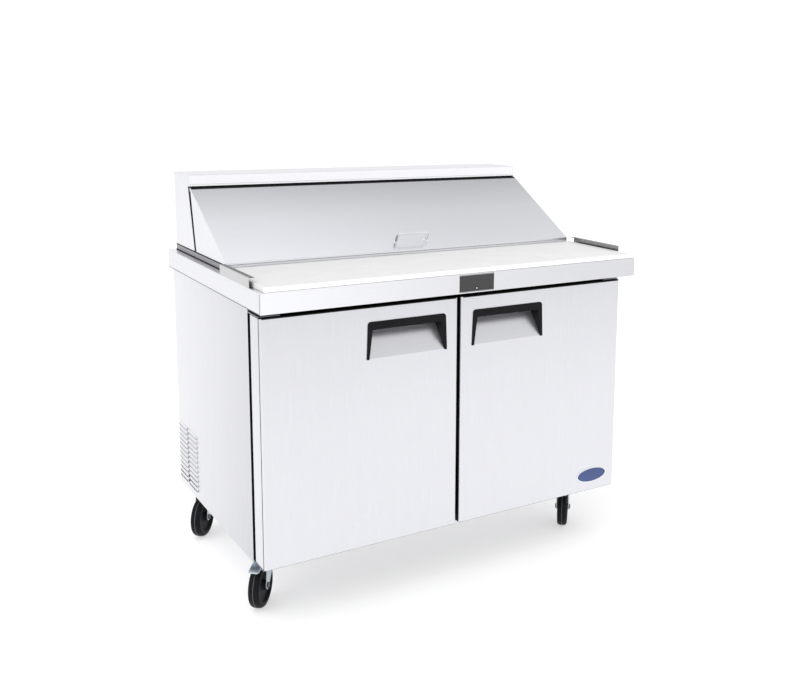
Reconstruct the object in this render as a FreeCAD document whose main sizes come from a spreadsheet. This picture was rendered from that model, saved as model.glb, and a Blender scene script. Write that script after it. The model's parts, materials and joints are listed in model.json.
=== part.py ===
"""Refrigerated sandwich prep table on casters: two doors, a hinged lid over the food pans, a cutting board.

Frame: X to the right, Y to the back, Z up. Z = 0 is the floor and X = Y = 0 is the middle of the unit.
Depths are counted from the front edge of the worktop, and at_depth() turns them into Y.
"""
import FreeCAD, Part
import math
import os
import re

import Sketcher

V = FreeCAD.Vector
DOC = FreeCAD.newDocument("sandwich_prep_table")
SHEET = DOC.addObject("Spreadsheet::Sheet", "Sizes")

SIZES = {
    # whole unit
    "unit_depth": 832,
    "top_width": 1222,
    "top_level": 940,
    "top_drop": 56,
    "gauge": 1.0,
    # cabinet
    "body_half": 597,
    "body_front": 139,
    "body_rear": 828,
    "body_base": 166,
    "wall": 48,
    "engine_front": 628,
    "engine_top": 400,
    "step_wall": 40,
    "mullion_half": 22,
    "rail_drop": 8,
    "rail_reach": 38,
    # doors
    "door_inner": 5.5,
    "door_outer": 596,
    "door_front": 50,
    "door_back": 118,
    "door_low": 177,
    "door_high": 863,
    "door_round": 7,
    "pivot_x": 576,
    "pivot_depth": 70,
    "pin_radius": 5,
    "running_gap": 0.05,
    "gasket_back": 133,
    "gasket_width": 16,
    # recessed door pull
    "pull_centre": 168.5,
    "pull_half": 126.5,
    "pull_flare": 4,
    "pull_top": 822,
    "pull_height": 106,
    "pull_bar": 23,
    "pull_proud": 2,
    "recess_half": 118.5,
    "recess_low": 718,
    "recess_knee": 799,
    "recess_high": 817,
    "recess_depth": 45,
    # pan opening, pans and the collar round them
    "opening_half": 545,
    "opening_front": 345,
    "opening_back": 690,
    "collar_half": 588,
    "collar_front": 325,
    "collar_back": 815,
    "collar_rise": 20,
    "collar_thick": 20,
    "pan_wide": 176,
    "pan_deep": 162,
    "pan_height": 102,
    "pan_pitch_x": 180,
    "pan_pitch_y": 172,
    "pan_centre": 517.5,
    "bar_thick": 5,
    # lid and hood
    "lid_slope": 29.2,
    "lid_length": 371,
    "lid_top_depth": 648,
    "lid_top_level": 1147.3,
    "lid_base_level": 961,
    "lid_rear_foot": 604,
    "lid_axis_inset": 5,
    "lid_pin": 2.5,
    "lid_foam": 20,
    "hood_foot": 610,
    "hood_front": 659,
    "hood_lip": 1152,
    "hood_top": 1186,
    # cutting board and its end brackets
    "board_half": 599,
    "board_back": 322,
    "board_thick": 13,
    "bracket_front": 78,
    "bracket_back": 312,
    "bracket_rise": 28,
    "bracket_flange": 15,
    # controller plate in the front edge
    "plate_left": -31,
    "plate_right": 84,
    "plate_margin": 3,
    "plate_depth": 40,
    # casters
    "caster_x": 532,
    "caster_front": 229,
    "caster_rear": 772,
    "caster_turn": 50,
    "trail": 38,
    "wheel_radius": 63.5,
    "wheel_half": 16,
    "axle_radius": 5,
    "leg_inner": 19,
    "leg_thick": 2.5,
    "fork_top": 143,
    "plate_base": 154.5,
    "brake_reach": 33,
    "brake_level": 135,
    "brake_pin": 2.5,
    "brake_barrel": 4,
    # shelves
    "shelf_level": 470,
    "shelf_front": 188,
    "shelf_deep": 582,
    "wire_radius": 2.5,
    "wire_pitch": 28.8,
    # evaporator on the inside of the back wall
    "coil_half": 240,
    "coil_front": 732,
    "coil_back": 786,
    "coil_low": 640,
    "coil_high": 800,
    "coil_fan_level": 720,
    "coil_fan_radius": 66,
    # compressor, condenser and power inlet in the engine bay
    "shell_x": -180,
    "shell_depth": 722,
    "shell_radius": 68,
    "condenser_front": 646,
    "condenser_back": 812,
    "condenser_high": 384,
    "bay_fan_depth": 729,
    "bay_fan_level": 282,
    "bay_fan_radius": 68,
    "pipe_radius": 5,
    "gland_x": 470,
    "gland_level": 300,
    "gland_radius": 10,
}

# pressed louvres in the left side, in two columns
LOUVRE_REACH = 4.0
LOUVRE_RISE = 9.0
LOUVRE_LENGTH = 84.0
LOUVRE_SPACE = 16.0
LOUVRE_PITCH = 15.6
LOUVRE_LOW = 196.0
LOUVRE_BACK = 818.0
LOUVRE_SLOTS = 12
LOUVRE_COLUMNS = 2

for row, (alias, value) in enumerate(SIZES.items(), start=1):
    SHEET.set(f"A{row}", alias)
    SHEET.set(f"B{row}", str(value))
    SHEET.setAlias(f"B{row}", alias)
DOC.recompute()

TURN_TO = {
    "X": FreeCAD.Rotation(V(0, 1, 0), 90),
    "Y": FreeCAD.Rotation(V(1, 0, 0), -90),
    "Z": FreeCAD.Rotation(),
}
NODES = []


# ---------------------------------------------------------------- helpers
def bound(text):
    """An expression in the sheet's aliases, as FreeCAD reads it."""
    return re.sub(r"[a-z][a-z_]+", lambda m: "Sizes." * (m.group() in SIZES) + m.group(), str(text))


def bind(thing, **properties):
    for name, text in properties.items():
        thing.setExpression(name, bound(text))


def place(thing, x=0, y=0, z=0):
    for name, text in (("x", x), ("y", y), ("z", z)):
        thing.setExpression(f"Placement.Base.{name}", bound(text))
    return thing


def at_depth(text):
    """Y of a point that many millimetres behind the worktop's front edge."""
    return f"({text}) - unit_depth / 2"


def sided(side, low, high):
    """An X range on the right (side 1) or its mirror image on the left (side -1)."""
    return (low, high) if side > 0 else (f"-({high})", f"-({low})")


def block(name, x, depth, z):
    """A box from its ranges: X, depth behind the front edge, and Z."""
    box = DOC.addObject("Part::Box", name)
    length, width, height = (f"({high}) - ({low})" for low, high in (x, depth, z))
    bind(box, Length=length, Width=width, Height=height)
    return place(box, x[0], at_depth(depth[0]), z[0])


def rod(name, axis, radius, length, x, depth, z):
    """A cylinder that starts at a point and runs along one axis."""
    cylinder = DOC.addObject("Part::Cylinder", name)
    cylinder.Placement = FreeCAD.Placement(V(), TURN_TO[axis])
    bind(cylinder, Radius=radius, Height=length)
    return place(cylinder, x, at_depth(depth), z)


def group(name, solids):
    """Separate solids that share one node."""
    compound = DOC.addObject("Part::Compound", name)
    compound.Links = solids
    return compound


def joined(name, solids):
    fusion = DOC.addObject("Part::MultiFuse", name)
    fusion.Shapes = solids
    return fusion


def cut(name, base, tool):
    result = DOC.addObject("Part::Cut", name)
    result.Base = base
    result.Tool = tool
    return result


def node(thing):
    """Keeps a finished sub-part, which goes to a file named after its label."""
    thing.Label = thing.Name
    NODES.append(thing)
    return thing


def new_body(name):
    return DOC.addObject("PartDesign::Body", name)


def origin_plane(body, role):
    return [feature for feature in body.Origin.OriginFeatures if feature.Role == role][0]


def outline(body, role, corners, shift="0"):
    """A closed polygon on an origin plane of the body, each corner tied to the sheet."""
    sketch = body.newObject("Sketcher::SketchObject", f"{body.Name}_sketch")
    sketch.AttachmentSupport = [(origin_plane(body, role), "")]
    sketch.MapMode = "FlatFace"
    bind(sketch, **{"AttachmentOffset.Base.z": shift})
    count = len(corners)
    turn = 2 * math.pi / count
    seeds = [V(100 * math.cos(turn * i), 100 * math.sin(turn * i), 0) for i in range(count)]
    for i in range(count):
        sketch.addGeometry(Part.LineSegment(seeds[i], seeds[(i + 1) % count]))
    for i, (across, up) in enumerate(corners):
        sketch.addConstraint(Sketcher.Constraint("Coincident", i, 2, (i + 1) % count, 1))
        for kind, text, seed in (("DistanceX", across, seeds[i].x), ("DistanceY", up, seeds[i].y)):
            index = sketch.addConstraint(Sketcher.Constraint(kind, -1, 1, i, 1, seed))
            sketch.setExpression(f"Constraints[{index}]", bound(text))
    return sketch


def pad(body, sketch, length, midplane=False, kind="Pad"):
    feature = body.newObject(f"PartDesign::{kind}", f"{body.Name}_{kind.lower()}")
    feature.Profile = sketch
    feature.Midplane = midplane
    bind(feature, Length=length)
    sketch.Visibility = False
    return feature


def pocket(body, sketch, length):
    """A cut that reaches the same way out on both sides of its sketch."""
    return pad(body, sketch, length, midplane=True, kind="Pocket")


def side_profile(name, corners, x_low, width):
    """A plate with its outline seen from the side (depth, Z), and its thickness along X."""
    body = new_body(name)
    pad(body, outline(body, "YZ_Plane", [(at_depth(depth), z) for depth, z in corners]), width)
    return place(body, x_low)


# ---------------------------------------------------------------- cabinet
def louvre_wedges(name, column, inner, skin):
    """A column of wedges that lean out of the sheet towards their lower edge, each smaller by a skin."""
    wedges = []
    back_end = LOUVRE_BACK - column * (LOUVRE_LENGTH + LOUVRE_SPACE) - skin
    for i in range(LOUVRE_SLOTS):
        wedge = DOC.addObject("Part::Wedge", f"{name}_{column}_{i}")
        wedge.Xmin = skin - LOUVRE_REACH
        wedge.X2min = -0.3
        wedge.Xmax = inner
        wedge.X2max = inner
        wedge.Ymin = 0
        wedge.Ymax = LOUVRE_RISE - skin
        wedge.Zmin = 0
        wedge.Z2min = 0
        wedge.Zmax = LOUVRE_LENGTH - 2 * skin
        wedge.Z2max = LOUVRE_LENGTH - 2 * skin
        wedge.Placement = FreeCAD.Placement(V(), FreeCAD.Rotation(V(1, 0, 0), 90))
        place(wedge, "-body_half", at_depth(back_end), f"{LOUVRE_LOW + i * LOUVRE_PITCH}")
        wedges.append(wedge)
    return wedges


def make_outer_panels():
    left = block("left_sheet", ("-body_half", "-body_half + gauge"), ("body_front", "body_rear"),
                 ("body_base", "top_level - top_drop"))
    pressed = [left]
    openings = []
    for column in range(LOUVRE_COLUMNS):
        pressed += louvre_wedges("louvre", column, 0.2, 0)
        openings += louvre_wedges("slot", column, 3, 1)
    node(cut("side_panel_left", joined("left_pressed", pressed), joined("left_slots", openings)))
    node(block("side_panel_right", ("body_half - gauge", "body_half"), ("body_front", "body_rear"),
               ("body_base", "top_level - top_drop")))
    between = ("-body_half + gauge", "body_half - gauge")
    back = block("back_sheet", between, ("body_rear - gauge", "body_rear"), ("body_base", "top_level - top_drop"))
    slots = [
        block(f"rear_slot_{column}_{i}", (f"{-430 + 170 * column}", f"{-290 + 170 * column}"),
              ("body_rear - 5", "body_rear + 5"), (f"{205 + 15 * i}", f"{210 + 15 * i}"))
        for column in range(5)
        for i in range(12)
    ]
    gland = ("gland_x", "body_rear - 10", "gland_level")
    slots.append(rod("gland_hole", "Y", "gland_radius + 0.3", "20", *gland))
    node(cut("back_panel", back, joined("rear_slots", slots)))
    node(block("bottom_panel", between, ("body_front", "body_rear - gauge"), ("body_base", "body_base + gauge")))


def make_insulation():
    """Foam slabs between the outer panels and the liner; the engine bay at the rear foot has none."""
    floor_level = "body_base + gauge"
    cap = "top_level - top_drop"
    ahead = ("body_front", "engine_front")
    slabs = []
    for side, word in ((-1, "left"), (1, "right")):
        x = sided(side, "body_half - wall", "body_half - gauge")
        slabs.append(block(f"foam_{word}_high", x, ("body_front", "body_rear - gauge"), ("engine_top", cap)))
        slabs.append(block(f"foam_{word}_low", x, ahead, (floor_level, "engine_top")))
    inside = ("-body_half + wall", "body_half - wall")
    slabs.append(block("foam_floor", inside, ahead, (floor_level, "body_base + wall")))
    slabs.append(block("foam_riser", inside, ("engine_front - step_wall", "engine_front"),
                       ("body_base + wall", "engine_top")))
    slabs.append(block("foam_step", inside, ("engine_front - step_wall", "body_rear - gauge"),
                       ("engine_top", "engine_top + step_wall")))
    slabs.append(block("foam_back", inside, ("body_rear - gauge - step_wall", "body_rear - gauge"),
                       ("engine_top + step_wall", cap)))
    node(group("cabinet_insulation", slabs))


def make_liner():
    """One bent tray: it follows the floor, the step over the engine bay and the back, with both sides."""
    body = new_body("cabinet_liner")
    step_front = "engine_front - step_wall"
    back = "body_rear - gauge - step_wall"
    shelf = "engine_top + step_wall"
    floor_level = "body_base + wall"

    def step_outline(grow, front, cap):
        return [
            (at_depth(front), f"{floor_level} + {grow}"),
            (at_depth(f"{step_front} - {grow}"), f"{floor_level} + {grow}"),
            (at_depth(f"{step_front} - {grow}"), f"{shelf} + {grow}"),
            (at_depth(f"{back} - {grow}"), f"{shelf} + {grow}"),
            (at_depth(f"{back} - {grow}"), cap),
            (at_depth(front), cap),
        ]

    width = "2 * (body_half - wall)"
    pad(body, outline(body, "YZ_Plane", step_outline("0", "body_front", "top_level - top_drop")), width, True)
    hollow = outline(body, "YZ_Plane", step_outline("gauge", "body_front - 5", "top_level"))
    pocket(body, hollow, f"{width} - 2 * gauge")
    node(body)


def make_front_frame():
    """The face frame behind the doors, with the upright between them."""
    body = new_body("face_plate")
    low, high = "body_base", "top_level - top_drop"

    def rectangle(x_low, x_high, z_low, z_high):
        return [(x_low, z_low), (x_high, z_low), (x_high, z_high), (x_low, z_high)]

    face = outline(body, "XZ_Plane", rectangle("-body_half", "body_half", low, high))
    pad(body, face, "3", True)
    for side in (-1, 1):
        x_low, x_high = sided(side, "mullion_half", "body_half - wall")
        doorway = rectangle(x_low, x_high, "body_base + wall", "top_level - top_drop - 36")
        pocket(body, outline(body, "XZ_Plane", doorway), "20")
    place(body, 0, at_depth("body_front - 1.5"))
    post = block("mullion", ("-mullion_half", "mullion_half"), ("body_front", "body_front + 45"),
                 ("body_base + wall + gauge", "top_level - top_drop"))
    node(group("front_frame", [body, post]))


def make_base():
    rails = [
        block(f"rail_{word}", ("-body_half + 7", "body_half - 7"),
              (f"{centre} - rail_reach", f"{centre} + rail_reach"), ("body_base - rail_drop", "body_base"))
        for word, centre in (("front", "caster_front"), ("rear", "caster_rear"))
    ]
    node(group("base_rails", rails))


# ---------------------------------------------------------------- worktop
def make_worktop():
    """A folded sheet: flat top with four skirts, a pan opening and a cut-out for the controller."""
    edge = ("-top_width / 2", "top_width / 2")
    slab = block("top_slab", edge, ("0", "unit_depth"), ("top_level - top_drop", "top_level"))
    hollow = block("top_hollow", ("-top_width / 2 + gauge", "top_width / 2 - gauge"),
                   ("gauge", "unit_depth - gauge"), ("top_level - top_drop - 5", "top_level - gauge"))
    opening = block("top_opening", ("-opening_half", "opening_half"), ("opening_front", "opening_back"),
                    ("top_level - 10", "top_level + 10"))
    window = block("top_window", ("plate_left", "plate_right"), ("-5", "5"),
                   ("top_level - top_drop + plate_margin", "top_level - plate_margin"))
    node(cut("worktop", slab, joined("top_cuts", [hollow, opening, window])))
    z = ("top_level - top_drop", "top_level - gauge")
    wide = ("-top_width / 2 + gauge", "top_width / 2 - gauge")
    slabs = [
        block("foam_front", wide, ("plate_depth + 2", "opening_front"), z),
        block("foam_front_left", (wide[0], "plate_left - 2"), ("gauge", "plate_depth + 2"), z),
        block("foam_front_right", ("plate_right + 2", wide[1]), ("gauge", "plate_depth + 2"), z),
        block("foam_rear", wide, ("opening_back", "unit_depth - gauge"), z),
    ]
    for side, word in ((-1, "left"), (1, "right")):
        x = sided(side, "opening_half", "top_width / 2 - gauge")
        slabs.append(block(f"foam_end_{word}", x, ("opening_front", "opening_back"), z))
    node(group("worktop_insulation", slabs))


def make_collar():
    """The raised frame round the pans that the lid and the hood stand on."""
    z = ("top_level", "top_level + collar_rise")
    bars = [
        block("collar_front_bar", ("-collar_half", "collar_half"),
              ("collar_front", "collar_front + collar_thick"), z),
        block("collar_rear_bar", ("-collar_half", "collar_half"),
              ("collar_back - collar_thick", "collar_back"), z),
    ]
    for side, word in ((-1, "left"), (1, "right")):
        x = sided(side, "collar_half - collar_thick", "collar_half")
        ends = ("collar_front + collar_thick", "collar_back - collar_thick")
        bars.append(block(f"collar_{word}_bar", x, ends, z))
    node(group("pan_collar", bars))


def make_pan_bars():
    """Long bars at the front, middle and back of the opening, and cross bars between the pans."""
    z = ("top_level - bar_thick", "top_level")
    half_row = "(pan_pitch_y - pan_deep) / 2 + 7"
    spans = {
        "front": ("opening_front", "pan_centre - pan_pitch_y / 2 - pan_deep / 2 + 7"),
        "middle": (f"pan_centre - ({half_row})", f"pan_centre + {half_row}"),
        "back": ("pan_centre + pan_pitch_y / 2 + pan_deep / 2 - 7", "opening_back"),
    }
    bars = [block(f"bar_{word}", ("-opening_half", "opening_half"), span, z) for word, span in spans.items()]
    gaps = {"front": (spans["front"][1], spans["middle"][0]), "back": (spans["middle"][1], spans["back"][0])}
    for word, span in gaps.items():
        for i in range(-2, 3):
            x = (f"{i} * pan_pitch_x - 8", f"{i} * pan_pitch_x + 8")
            bars.append(block(f"cross_{word}_{i + 2}", x, span, z))
        for side in (-1, 1):
            x = sided(side, "3 * pan_pitch_x - 8", "opening_half")
            bars.append(block(f"end_{word}_{side + 1}", x, span, z))
    node(group("pan_divider_bars", bars))


def tub(name, wide, deep, height, taper, x, depth, rim_level):
    """A straight-tapered block that narrows downwards from its rim."""
    wedge = DOC.addObject("Part::Wedge", name)
    bind(wedge, Xmin="0", Xmax=wide, Ymin="0", Ymax=height, Zmin="0", Zmax=deep)
    bind(wedge, X2min=taper, X2max=f"{wide} - {taper}", Z2min=taper, Z2max=f"{deep} - {taper}")
    wedge.Placement = FreeCAD.Placement(V(), FreeCAD.Rotation(V(1, 0, 0), -90))
    return place(wedge, f"{x} - ({wide}) / 2", at_depth(f"{depth} - ({deep}) / 2"), rim_level)


def make_food_pans():
    """Sixth-size pans in two rows of six; each hangs from its rim on the bars."""
    pans = []
    for row in range(2):
        for column in range(6):
            name = f"pan_{row}_{column}"
            x = f"{column - 2.5} * pan_pitch_x"
            depth = f"(pan_centre + {row - 0.5} * pan_pitch_y)"
            rim = block(f"{name}_rim", (f"{x} - pan_wide / 2", f"{x} + pan_wide / 2"),
                        (f"{depth} - pan_deep / 2", f"{depth} + pan_deep / 2"),
                        ("top_level + 0.1", "top_level + 2"))
            outer = tub(f"{name}_outer", "(pan_wide - 20)", "(pan_deep - 20)", "pan_height", "9",
                        x, depth, "top_level + 1")
            inner = tub(f"{name}_inner", "(pan_wide - 22)", "(pan_deep - 22)", "(pan_height + 1)", "9",
                        x, depth, "top_level + 3")
            pans.append(cut(name, joined(f"{name}_skin", [rim, outer]), inner))
    node(group("food_pans", pans))


# ---------------------------------------------------------------- hood and lid
def along_lid(distance, inward):
    """(depth, Z) of a point down the lid's slope from its top edge, and that far in under its face."""
    depth = f"lid_top_depth - ({distance}) * cos(lid_slope) + ({inward}) * sin(lid_slope)"
    level = f"lid_top_level - ({distance}) * sin(lid_slope) - ({inward}) * cos(lid_slope)"
    return depth, level


LID_AXIS = along_lid("0", "lid_axis_inset")


def make_hood():
    foot = "top_level + collar_rise"
    end = [("hood_foot", foot), ("hood_front", "hood_lip"), ("hood_front", "hood_top"),
           ("collar_back", "hood_top"), ("collar_back", foot)]
    ends = [
        side_profile("hood_end_left", end, "-collar_half", "gauge"),
        side_profile("hood_end_right", end, "collar_half - gauge", "gauge"),
    ]
    node(group("hood_ends", ends))
    inside = "-collar_half + gauge"
    width = "2 * (collar_half - gauge)"
    lip = "8"
    cover = [
        (f"hood_front + {lip}", "hood_lip"), ("hood_front", "hood_lip"), ("hood_front", "hood_top"),
        ("collar_back", "hood_top"), ("collar_back", "hood_top - gauge"),
        ("hood_front + gauge", "hood_top - gauge"), ("hood_front + gauge", "hood_lip + gauge"),
        (f"hood_front + {lip}", "hood_lip + gauge"),
    ]
    node(side_profile("hood_top_cover", cover, inside, width))
    node(block("hood_back_panel", (inside, "collar_half - gauge"), ("collar_back - gauge", "collar_back"),
               (foot, "hood_top - gauge")))
    x = ("-collar_half + 12", "collar_half - 12")
    foam = [
        block("hood_foam_top", x, ("hood_front + 12", "collar_back - gauge"),
              ("hood_top - 30", "hood_top - gauge")),
        block("hood_foam_back", x, ("collar_back - 30", "collar_back - gauge"), (foot, "hood_top - 30")),
    ]
    node(group("hood_insulation", foam))
    seal_foot = [("hood_foot - 9", f"{foot} + 1"), ("hood_foot + 8", f"{foot} + 1"),
                 ("hood_front + 4", "hood_lip - 14"), ("hood_front - 13", "hood_lip - 14")]
    seals = [
        side_profile("seal_left", seal_foot, "-collar_half + gauge + 0.3", "1.5"),
        side_profile("seal_right", seal_foot, "collar_half - gauge - 1.8", "1.5"),
        block("seal_top", ("-collar_half + 14", "collar_half - 14"), ("hood_front + 1", "hood_front + 7"),
              ("hood_lip - 12", "hood_lip")),
    ]
    node(group("hood_gasket", seals))


def make_lid_hinge():
    """A pin at each end of the hood, on an arm that passes under the hood's lip."""
    depth, level = LID_AXIS
    arm = [
        (f"{depth} - 2.4", f"{level} + 0.5"), (f"{depth} + 0.5", f"{level} + 2.4"),
        (f"{depth} + 12", f"{level} - 12"), (f"{depth} + 40", f"{level} - 12"),
        (f"{depth} + 40", f"{level} - 26"), (f"{depth} + 8", f"{level} - 26"),
    ]
    pins = []
    for side, word in ((-1, "left"), (1, "right")):
        arm_x = sided(side, "collar_half - 9", "collar_half - 4")
        foot_x = sided(side, "collar_half - 4.5", "collar_half - gauge - 1.8")
        pin_x = sided(side, "collar_half - 6", "collar_half")
        plate = side_profile(f"hinge_arm_{word}", arm, arm_x[0], "5")
        foot = block(f"hinge_foot_{word}", foot_x, (f"{depth} + 20", f"{depth} + 40"),
                     (f"{level} - 26", f"{level} - 12"))
        pin = rod(f"hinge_pin_{word}", "X", "lid_pin", "6", pin_x[0], depth, level)
        pins.append(joined(f"lid_hinge_{word}", [plate, foot, pin]))
    node(group("lid_hinge_pins", pins))


def make_lid():
    front = along_lid("lid_length", "0")
    bend = (f"{front[0]} + gauge", f"{front[1]} + gauge * tan(lid_slope) - gauge / cos(lid_slope)")
    sheet = [
        along_lid("0", "0"), front, (front[0], "lid_base_level"), (f"{front[0]} + gauge", "lid_base_level"),
        bend, along_lid("0", "gauge"),
    ]
    node(side_profile("lid_top_panel", sheet, "-collar_half + gauge", "2 * (collar_half - gauge)"))
    triangle = [along_lid("0", "0"), front, (front[0], "lid_base_level"),
                ("lid_rear_foot", "lid_base_level")]
    depth, level = LID_AXIS
    ends = []
    for side, word in ((-1, "left"), (1, "right")):
        x_low = sided(side, "collar_half - gauge", "collar_half")[0]
        plate = side_profile(f"lid_plate_{word}", triangle, x_low, "gauge")
        boss = rod(f"lid_boss_{word}", "X", "lid_axis_inset", "gauge", x_low, depth, level)
        hole = rod(f"lid_hole_{word}", "X", "lid_pin + running_gap", "gauge + 10",
                   f"{x_low} - 5", depth, level)
        ends.append(cut(f"lid_end_{word}", joined(f"lid_blank_{word}", [plate, boss]), hole))
    node(group("lid_ends", ends))
    foam = [along_lid("14", "gauge"), along_lid("lid_length - 24", "gauge"),
            along_lid("lid_length - 24 - lid_foam", "lid_foam"), along_lid("14", "lid_foam")]
    node(side_profile("lid_insulation", foam, "-collar_half + 28", "2 * (collar_half - 28)"))
    make_lid_handle()


def make_lid_handle():
    """A bent-rod pull, standing square off the lid near its lower edge."""
    body = new_body("lid_handle")
    grip = 52.0
    reach = 30.0
    rod_radius = 4.5
    bend = 12.0
    path = body.newObject("Sketcher::SketchObject", "handle_path")
    path.AttachmentSupport = [(origin_plane(body, "XY_Plane"), "")]
    path.MapMode = "FlatFace"
    straight = grip - bend
    knee = reach - bend
    up = V(0, 0, 1)
    quarter = math.pi / 2
    path.addGeometry(Part.LineSegment(V(-grip, 0, 0), V(-grip, knee, 0)))
    path.addGeometry(Part.ArcOfCircle(Part.Circle(V(-straight, knee, 0), up, bend), quarter, math.pi))
    path.addGeometry(Part.LineSegment(V(-straight, reach, 0), V(straight, reach, 0)))
    path.addGeometry(Part.ArcOfCircle(Part.Circle(V(straight, knee, 0), up, bend), 0, quarter))
    path.addGeometry(Part.LineSegment(V(grip, knee, 0), V(grip, 0, 0)))
    ring = body.newObject("Sketcher::SketchObject", "handle_ring")
    ring.AttachmentSupport = [(origin_plane(body, "XZ_Plane"), "")]
    ring.MapMode = "FlatFace"
    ring.addGeometry(Part.Circle(V(-grip, 0, 0), up, rod_radius))
    pipe = body.newObject("PartDesign::AdditivePipe", "handle_pipe")
    pipe.Profile = ring
    pipe.Spine = (path, [])
    depth, level = along_lid("lid_length - 42", "0")
    # local Y stands off the sloping face, local X stays along the lid
    body.Placement = FreeCAD.Placement(V(), FreeCAD.Rotation(V(1, 0, 0), 90 + SIZES["lid_slope"]))
    place(body, "8", at_depth(depth), level)
    node(body)


# ---------------------------------------------------------------- board and controller
def make_board():
    board = DOC.addObject("Part::Box", "board_blank")
    bind(board, Length="2 * board_half", Width="board_back - 1", Height="board_thick")
    place(board, "-board_half", at_depth("1"), "top_level + 0.2")
    rounded = DOC.addObject("Part::Fillet", "cutting_board")
    DOC.recompute()
    rounded.Base = board
    uprights = [
        (i, 5.0, 5.0)
        for i, edge in enumerate(board.Shape.Edges, start=1)
        if abs(edge.Vertexes[0].Point.z - edge.Vertexes[1].Point.z) > 1
    ]
    rounded.Edges = uprights
    node(rounded)


def make_board_brackets():
    """A C-shaped strip on each end of the worktop that holds the board's end down."""
    brackets = []
    rise = "top_level + bracket_rise"
    for side, word in ((-1, "left"), (1, "right")):
        depth = ("bracket_front", "bracket_back")
        web = sided(side, "top_width / 2 - 1.2", "top_width / 2")
        foot = sided(side, "top_width / 2 - 10", "top_width / 2 - 1.2")
        flange = sided(side, "top_width / 2 - bracket_flange", "top_width / 2 - 1.2")
        brackets.append(joined(f"board_bracket_{word}", [
            block(f"bracket_web_{word}", web, depth, ("top_level", rise)),
            block(f"bracket_foot_{word}", foot, depth, ("top_level", "top_level + 1.2")),
            block(f"bracket_flange_{word}", flange, depth, (f"{rise} - 1.2", rise)),
        ]))
    node(group("board_brackets", brackets))


def make_controller():
    """Plate set flush in the front edge, with its box behind."""
    x = ("plate_left + 0.2", "plate_right - 0.2")
    z = ("top_level - top_drop + plate_margin + 0.2", "top_level - plate_margin - 0.2")
    face = block("plate_face", x, ("0", "3"), z)
    case = block("plate_case", ("plate_left + 6", "plate_right - 6"), ("3", "plate_depth"),
                 (f"{z[0]} + 2", f"{z[1]} - 2"))
    window = block("plate_window", ("plate_left + 46", "plate_right - 46"), ("-1", "0.8"),
                   ("top_level - top_drop + 9", "top_level - top_drop + 17"))
    node(cut("controller_housing", joined("plate_blank", [face, case]), window))


# ---------------------------------------------------------------- doors
def make_recess(name, grow, side):
    """The finger pocket behind the pull: it slopes in upwards, then runs up behind the grip bar."""
    profile = [
        ("door_front - 5", f"recess_low - {grow}"), ("door_front", f"recess_low - {grow}"),
        (f"door_front + recess_depth + {grow}", "recess_knee"),
        (f"door_front + recess_depth + {grow}", f"recess_high + {grow}"),
        ("door_front - 5", f"recess_high + {grow}"),
    ]
    x_low = sided(side, f"pull_centre - recess_half - {grow}", f"pull_centre + recess_half + {grow}")[0]
    return side_profile(name, profile, x_low, f"2 * (recess_half + {grow})")


def bores(name, side, radius):
    """The two hinge bores, up from the door's foot and down from its head."""
    x = "pivot_x" if side > 0 else "-pivot_x"
    return joined(name, [
        rod(f"{name}_low", "Z", radius, "26", x, "pivot_depth", "door_low - 4"),
        rod(f"{name}_high", "Z", radius, "26", x, "pivot_depth", "door_high - 22"),
    ])


def rounded_front(name, box, radius, before):
    """The block with its upright edges ahead of a Y level rounded."""
    DOC.recompute()
    made = DOC.addObject("Part::Fillet", name)
    made.Base = box
    made.Edges = [
        (i, radius, radius)
        for i, edge in enumerate(box.Shape.Edges, start=1)
        if abs(edge.Vertexes[0].Point.z - edge.Vertexes[1].Point.z) > 1 and edge.Vertexes[0].Point.y < before
    ]
    return made


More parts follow.
